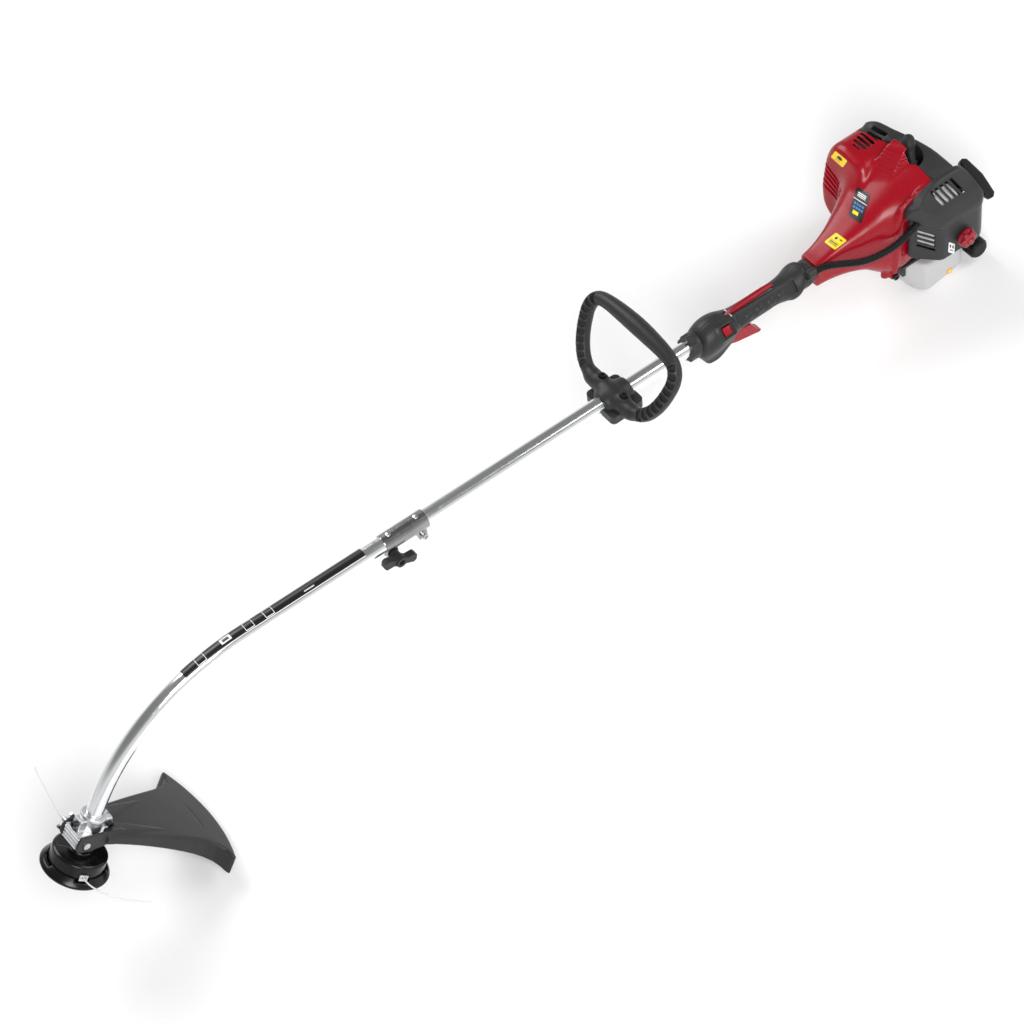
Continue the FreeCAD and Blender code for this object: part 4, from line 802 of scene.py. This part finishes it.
def smooth_path(points):
    """Catmull-Rom curve through a half loop, mirrored past both ends."""
    half = [np.array(q, float) for q in points]
    p = [half[1] * [-1, 1, 1]] + half + [half[-2] * [-1, 1, 1]]
    path = []
    for a, b, c, d in zip(p, p[1:], p[2:], p[3:]):
        for t in np.arange(3) / 3:
            path.append(0.5 * (2 * b + (c - a) * t + (2 * a - 5 * b + 4 * c - d) * t**2
                               + (3 * b - a - 3 * c + d) * t**3))
    return path + [p[-2]]


# Half of the loop's centre line: across, up and radius.
LOOP_PATH = [(0, 8, 10.5), (38, 8, 10.5), (60, 13, 10.8), (76, 25, 11), (87, 42, 11), (94, 60, 11),
             (98.5, 80, 11), (100, 97, 11), (96, 112, 11), (86, 122, 11), (68, 127, 11.6), (38, 129.5, 13),
             (0, 130.5, 14)]


def make_loop():
    g = Grid((220, -118, -4), (330, 118, 136), 1.2)
    foot, tooth_pitch, teeth_start = 250, 12.4, 64
    up = (g.x - foot) * math.sin(LOOP_LEAN) + g.z * math.cos(LOOP_LEAN)
    out = (g.x - foot) * math.cos(LOOP_LEAN) - g.z * math.sin(LOOP_LEAN)
    side = np.abs(g.y)
    path = smooth_path(LOOP_PATH)
    near, where, travelled = None, None, 0.0
    for a, b in zip(path, path[1:]):
        e = (b - a)[:2]
        t = unit(((side - a[0]) * e[0] + (up - a[1]) * e[1]) / (e @ e))
        flat = np.sqrt((side - a[0] - e[0] * t) ** 2 + (up - a[1] - e[1] * t) ** 2)
        d = np.sqrt(flat**2 + out**2) - (a[2] + (b[2] - a[2]) * t)
        s = travelled + t * np.linalg.norm(e)
        travelled += np.linalg.norm(e)
        near, where, across = (d, s, flat) if near is None else (
            np.minimum(near, d), np.where(d < near, s, where), np.where(d < near, flat, across))
    tooth = np.abs(((where - teeth_start) / tooth_pitch) % 1.0 - 0.5) * tooth_pitch - 4.2
    pocket = both(1.2, tooth, across - 7.8, out + 3.8,
                  slab(where, teeth_start, teeth_start + tooth_pitch * 10))
    tube = less(near, pocket, 0.8)
    hub = either(12, cylinder(g, (231, 0, -1), (284, 0, -1), 20.0, 7),
                 capsule(g, (254, -44, 6), (254, 44, 6), 12.5))
    form = smin(tube, hub, 10)
    for y in (-26, 26):
        form = smin(form, cylinder(g, (258, y, 4), (258, y, 20.5), 8.0, 3), 6)
        form = less(form, cylinder(g, (258, y, 19.0), (258, y, 40), 5.4, 0.5), 0.8)
    form = smax(form, 1.0 - g.z, 0.8)
    form = less(form, cylinder(g, (180, 0, 0), (400, 0, 0), TUBE_R))
    carve("loop_body", g, form, "front_loop", GRIP, ["loop_handle"])


make_grip()
make_lever()
make_grip_clamps()
make_loop()


# ---- cutting head ----

GUARD_BOLT = (-20.0, -57.0)  # r and height of the guard's bolts
CLAMP_BOLT = (23, -37)
LINE_LEVEL = -108
EYELET_TURN = math.radians(68)


def from_head_row(points):
    return row(from_head(points))


def make_bracket():
    """Cast bracket; like every piece of the head, in the head's frame (x is r, z is up)."""
    g = Grid((-38, -25, -86), (34, 25, -9), 0.8)
    r = np.sqrt(g.x**2 + g.y**2)
    clamp = both(2, r - 17.8, slab(g.z, -48, -24))
    bead = both(1.5, r - 19.2, slab(g.z, -29, -23.5))
    lugs = both(3, slab(g.x, 8, 29), slab(g.y, -10.5, 10.5), slab(g.z, -46, -28))
    bolt_r, bolt_level = CLAMP_BOLT
    boss = cylinder(g, (bolt_r, -11, bolt_level), (bolt_r, 11, bolt_level), 7.5, 1)
    front = either(3, block(g, (-27, -10), (-9, 9), (-47, -28), 2),
                   block(g, (-34, -8), (-22, 14.5), (-68, -44), 2.5))
    waist = along(g.z, (-83, -76, -70, -60, -46), (17, 18, 14.5, 15, 16.5))
    low = smax(r - waist, slab(g.z, -83, -44), 1)
    collar = both(1.5, r - 19.0, slab(g.z, -81, -75))
    form = either(2.5, clamp, bead, lugs, boss, front, low, collar)
    web = block(g, (-24, 20), (-3, 3), (-66, -40), 1)
    form = smin(form, web, 3)
    for z in (-48.5, -54, -59.5, -65):
        form = less(form, block(g, (-40, -31.5), (-24, 24), (z, z + 2.6), 0.8), 0.6)
    form = less(form, block(g, (0, 32), (-1.2, 1.2), (-48, -9), 0), 0.4)
    bores = (smax(r - 13.1, -44 - g.z), smax(r - 6.1, g.z + 40), smax(r - 11.6, g.z + 66),
             cylinder(g, (bolt_r, -30, bolt_level), (bolt_r, -11, bolt_level), 5.2),
             cylinder(g, (-40, 0, bolt_level), (-27, 0, bolt_level), 5.2))
    form = reduce(less, bores, form)
    carve("cast_bracket", g, form, "lower_shaft", CAST, ["head_bracket"], from_head_row)


def make_guard():
    """Fan-shaped guard: a domed sheet with turned-down edges, two ears and a scored arc."""
    g = Grid((-40, -110, -112), (245, 110, -34), 1.3)
    outline = [(14, 32), (40, 36), (70, 41), (100, 46.5), (130, 52), (157, 57.5), (180, 65), (194, 73),
               (201, 83), (203, 91), (205.5, 96.5), (209.5, 99), (212.5, 96.5)]
    rim, half_turn, sheet = 232, math.radians(24.3), 3.0
    arc = [(rim * math.cos(a), rim * math.sin(a)) for a in np.linspace(half_turn, -half_turn, 19)]
    fan = polygon(g.x, g.y, outline + arc + [(x, -y) for x, y in reversed(outline)])
    past = np.clip(g.x - 60, 0, 300) / 100
    top = -44 - 6 * g.x / 100 - 5.5 * past**2
    crown = 2.2 * unit(1 - (g.y / 100) ** 2) * unit(g.x / 120)
    rise = g.z - top - crown + 2.2 * unit(g.x / 120)
    wedge = convex(g.x, np.abs(g.y), [(8, 27), (126, 35.5), (126, 34.5), (8, -6)], 0)
    rise = rise - 4.2 * unit(-wedge / 3) * unit((128 - g.x) / 90)
    radius = np.sqrt(g.x**2 + g.y**2)
    swing = np.degrees(np.arctan2(g.y, g.x))
    score = unit(1 - np.abs(radius - 193) / 1.2) * unit((8.5 - np.abs(swing + 2.5)) / 1.5)
    rise = rise + 1.2 * score
    depth = 12 + 22 * unit((g.x - 30) / 185) ** 1.15
    solid = smax(fan, rise, 5.0)
    shell = less(solid, smax(fan + sheet, rise + sheet, 3.5))
    shell = smax(shell, top - depth - sheet - g.z, 1.5)
    shell = less(shell, block(g, (-60, 14), (-120, 120), (-130, -20), 0))
    shell = smax(shell, 19.2 - radius)
    shell = less(shell, block(g, (10, 30), (-15, 15), (-56, -20), 1))
    for low, high in ((-27.5, -23), (15.5, 20)):
        ear = both(1, convex(g.x, g.z, [(-36, -64), (-36, -52), (-29, -42), (20, -38), (42, -41), (42, -58),
                                        (-6, -71), (-30, -71)], 4), slab(g.y, low, high))
        shell = smin(shell, ear, 2.5)
    bolt_r, bolt_level = GUARD_BOLT
    for y in (-30, 22):
        shell = less(shell, cylinder(g, (bolt_r, y - 12, bolt_level), (bolt_r, y + 12, bolt_level), 3.0))
    carve("guard_shell", g, shell, "lower_shaft", GRIP, ["guard"], from_head_row)


def make_head():
    """Spool case, its flanged skirt and the two eyelets of the line."""
    g = Grid((-54, -54, -131), (54, 54, -86), 0.9)
    r = np.sqrt(g.x**2 + g.y**2)
    turn = np.arctan2(g.y, g.x) - EYELET_TURN
    side = both(3, r - 42.0, slab(g.z, -116, -92))
    top = both(1.5, r - 39.0, slab(g.z, -100, -90.6))
    dome = both(2, r - 16.0, slab(g.z, -95, -88))
    form = either(2, side, top, dome)
    form = less(form, both(0, r - 39.5, slab(g.z, -120, -94.5)))
    patch = both(0.8, slab(r, 18, 36), np.abs(np.sin(turn * 2 + 0.9)) * 20 - 13.0, slab(g.z, -93, -85))
    form = less(form, both(0.5, patch, -91.0 - g.z), 0.5)
    form = less(form, smax(r - 5.2, slab(g.z, -100, -80)))
    for a in (0, math.pi):
        c, s = math.cos(EYELET_TURN + a), math.sin(EYELET_TURN + a)
        form = less(form, cylinder(g, (30 * c, 30 * s, LINE_LEVEL), (50 * c, 50 * s, LINE_LEVEL), 3.2))
    carve("head_case", g, form, "cutting_head", HEAD_BLACK, ["head_cover"], from_head_row)
    wide = along(g.z, (-130, -126, -122, -119, -112), (44.5, 51.2, 52.4, 50.2, 43.6))
    flange = both(1, r - wide, slab(g.z, -130, -112), 42.3 - r + np.clip(-118 - g.z, 0, 8.5) * 0.15)
    foot = both(0.8, slab(r, 24, 45), slab(g.z, -130, -126.5))
    flange = smin(flange, foot, 1)
    for i in range(4):
        a = math.radians(68 + 90 * i)
        c, s = math.cos(a), math.sin(a)
        u, v = g.x * c + g.y * s, -g.x * s + g.y * c
        width = 11 if i % 2 == 0 else 16
        flange = less(flange, both(1, 40 - u, slab(v, -width, width), -116.5 - g.z), 1)
    carve("head_skirt", g, flange, "cutting_head", HEAD_BLACK, ["head_flange"],
          from_head_row)
    g = Grid((35, -9, -116), (49, 9, -100), 0.5)
    frame_ring = less(both(0.8, slab(g.x, 41.8, 46.2), slab(g.y, -6.5, 6.5), slab(g.z, -113.4, -102.6)),
                      both(0.8, slab(g.x, 44.4, 50), slab(g.y, -4.1, 4.1), slab(g.z, -111, -105)), 0.3)
    barrel = cylinder(g, (39, 0, LINE_LEVEL), (45.4, 0, LINE_LEVEL), 2.9, 0.3)
    eyelet = less(smin(frame_ring, barrel, 0.5), cylinder(g, (30, 0, LINE_LEVEL), (60, 0, LINE_LEVEL), 1.7))
    for i, name in enumerate(("eyelet_far", "eyelet_near")):
        a = math.radians(68 + 180 * i)
        turned = np.array([[math.cos(a), math.sin(a), 0], [-math.sin(a), math.cos(a), 0], [0, 0, 1]])
        carve(name, g, eyelet, "cutting_head", ZINC, ["line_eyelets"],
              lambda p: from_head_row(p @ turned))


make_bracket()
make_guard()
make_head()

# ---- labels: plain shapes only ----

LABEL_THICK = 0.0002
LABEL_LIFT = 0.0004
LABEL_REACH = 0.06  # metres a ray starts in front of a label's guide corners
BAND_LONG, BAND_WIDE = 370, 26
BAND_TURN = 17.5  # degrees of the bend that the tube's band covers


def thin_piece(name, points, faces, marks, finishes, body):
    """Sheet of cells, each with its own finish."""
    data = bpy.data.meshes.new(name)
    data.from_pydata([tuple(p) for p in points], [], faces)
    for finish in finishes:
        data.materials.append(finish)
    for face, mark in zip(data.polygons, marks):
        face.material_index = mark
    piece = bpy.data.objects.new(name, data)
    bpy.context.scene.collection.objects.link(piece)
    thick = piece.modifiers.new("thick", "SOLIDIFY")
    thick.thickness, thick.offset = LABEL_THICK, 0
    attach(piece, body)


def label(name, shell, cells, pick, finishes, corners):
    """Thin label laid on a shell; pick(u, v) numbers the finish of each cell, or None for no cell."""
    mesh = bpy.data.objects[shell].data
    tree = BVHTree.FromPolygons([v.co.copy() for v in mesh.vertices],
                                [tuple(f.vertices) for f in mesh.polygons])
    a, b, c, d = (np.array(p, float) for p in corners)
    eye = Vector(row(CAMERA_PLACE))
    lift = []
    for j in range(cells[1] + 1):
        for i in range(cells[0] + 1):
            u, v = i / cells[0], j / cells[1]
            point = (a * (1 - u) + b * u) * (1 - v) + (d * (1 - u) + c * u) * v
            aim = Vector(row(point))
            way = (aim - eye).normalized()
            hit, normal, _, _ = tree.ray_cast(aim - way * LABEL_REACH, way)
            out = -normal if hit and normal.dot(way) > 0 else normal
            lift.append(hit + out * LABEL_LIFT if hit else aim)
    faces, marks = [], []
    wide = cells[0] + 1
    for j in range(cells[1]):
        for i in range(cells[0]):
            mark = pick((i + 0.5) / cells[0], (j + 0.5) / cells[1])
            if mark is not None:
                faces.append((j * wide + i, j * wide + i + 1, (j + 1) * wide + i + 1, (j + 1) * wide + i))
                marks.append(mark)
    used = sorted({k for f in faces for k in f})
    number = {k: n for n, k in enumerate(used)}
    thin_piece(name, [lift[k] for k in used], [tuple(number[k] for k in f) for f in faces], marks,
               finishes, ROOT)


def rounded(u, v, wide, high, r):
    """Whether a cell lies inside a rounded rectangle of this size, in millimetres."""
    x, y = max(abs(u - 0.5) * wide - wide / 2 + r, 0), max(abs(v - 0.5) * high - high / 2 + r, 0)
    return x * x + y * y <= r * r


def bolt_label(u, v):
    """Disc over a bar."""
    if not rounded(u, v, 28, 16, 2):
        return None
    if ((u - 0.5) / 0.2) ** 2 + ((v - 0.38) / 0.2) ** 2 < 1:
        return 1
    return 2 if 0.68 < v < 0.82 and 0.28 < u < 0.66 else 0


def plate_label(u, v):
    """Disc and short bar over three long bars."""
    if not rounded(u, v, 24, 22, 2):
        return None
    bars = 0.52 < v < 0.86 and 0.14 < u < 0.86 and (v * 8) % 1 < 0.5
    dots = (u - 0.35) ** 2 + (v - 0.3) ** 2 < 0.012 or (0.2 < v < 0.28 and 0.6 < u < 0.86)
    return 1 if bars or dots else 0


def panel_label(u, v):
    """Bars, a rule, two rows of discs and a block."""
    if not rounded(u, v, 24, 50, 3.5):
        return None
    if 0.1 < v < 0.28 and 0.2 < u < 0.8 and (v * 17) % 1 < 0.55:
        return 1
    if abs(v - 0.37) < 0.012:
        return 1
    for line in (0.5, 0.63):
        for i in range(4):
            if ((u - 0.2 - 0.2 * i) * 24) ** 2 + ((v - line) * 50) ** 2 < 4.4:
                return 2
    return 3 if 0.73 < v < 0.85 and 0.2 < u < 0.62 else 0


def cover_label(u, v):
    """Two blocks over a bar."""
    if not rounded(u, v, 16, 22, 2):
        return None
    blocks = 0.2 < v < 0.48 and (0.15 < u < 0.4 or 0.6 < u < 0.85)
    bar = 0.66 < v < 0.76 and 0.25 < u < 0.75
    return 1 if blocks or bar else 0


def tank_label(u, v):
    """Disc with a rim."""
    edge = 0.5 - math.hypot(u - 0.5, v - 0.5)
    if edge < 0:
        return None
    return 0 if edge < 0.12 else 1


def tube_mark(u, v):
    """Black band with white edges, empty frames, a ringed block and a row of ticks."""
    if v > 0.97 or v < 0.03:
        return 1
    for place in (0.1, 0.36, 0.47):
        x, y = abs(u - place) * BAND_LONG, abs(v - 0.62) * BAND_WIDE
        if max(x - 9, y - 7.5) < 0 < max(x - 8, y - 6.5):
            return 1
    x, y = abs(u - 0.24) * BAND_LONG, abs(v - 0.62) * BAND_WIDE
    if max(x - 10, y - 5) < 0:
        return 0 if max(x - 6, y - 2.5) < 0 else 1
    return 1 if 0.66 < u < 0.72 and abs(v - 0.8) < 0.04 and (u * BAND_LONG) % 3 < 2 else 0


def make_tube_label():
    """Band over the top of the lower tube, from the straight run into its bend."""
    start, bend, bend_r, radius = -201.0, -413.75, 328.0, TUBE_R + 0.25
    run = start - bend
    total = run + bend_r * math.radians(BAND_TURN)
    count, around = 372, 26
    points = []
    for i in range(count + 1):
        s = total * (1 - i / count)
        angle = max(s - run, 0) / bend_r
        base = np.array((bend - bend_r * math.sin(angle) if s > run else start - s, 0,
                         -bend_r * (1 - math.cos(angle))))
        up = np.array((-math.sin(angle), 0, math.cos(angle)))
        for j in range(around + 1):
            a = math.radians(-78 + 118 * j / around)
            points.append(base + radius * (math.cos(a) * up + math.sin(a) * np.array((0, -1.0, 0))))
    faces, marks = [], []
    for i in range(count):
        for j in range(around):
            k = i * (around + 1) + j
            faces.append((k, k + 1, k + around + 2, k + around + 1))
            marks.append(tube_mark((i + 0.5) / count, (j + 0.5) / around))
    thin_piece("label_tube", row(np.array(points)), faces, marks, [LABEL, WHITE], "lower_shaft")


# Each label's name, shell, cells, marks, finishes and corners.
LABELS = (
    ("label_bolt", "shroud_shell", (44, 30), bolt_label, (YELLOW, LABEL, ORANGE),
     ((762, 84.8, 106.6), (761.9, 56.8, 106.3), (757.2, 62.4, 90.7), (757.6, 90.9, 92))),
    ("label_plate", "shroud_shell", (40, 36), plate_label, (YELLOW, LABEL),
     ((692.8, 3.6, 39.4), (693.8, -20.1, 39.9), (673.7, -15.5, 29.9), (672.7, 8.3, 29.3))),
    ("label_panel", "shroud_shell", (40, 84), panel_label, (LABEL, WHITE, BLUE, YELLOW),
     ((741.7, 11.7, 99.8), (750.2, -9, 91.1), (722.8, -19, 55.3), (714.5, 0.6, 63.3))),
    ("label_cover", "filter_cover", (30, 40), cover_label, (WHITE, LABEL),
     ((824, -104, 10.8), (836.5, -104, -2.6), (835.6, -104, -24.5), (822.6, -104, -10.5))),
    ("label_tank", "tank_shell", (40, 40), tank_label, (ORANGE, YELLOW),
     ((851, -71.5, -110), (862, -71.5, -110), (862.5, -71.5, -99), (851.5, -71.5, -99))),
)
for entry in LABELS:
    label(*entry)
make_tube_label()
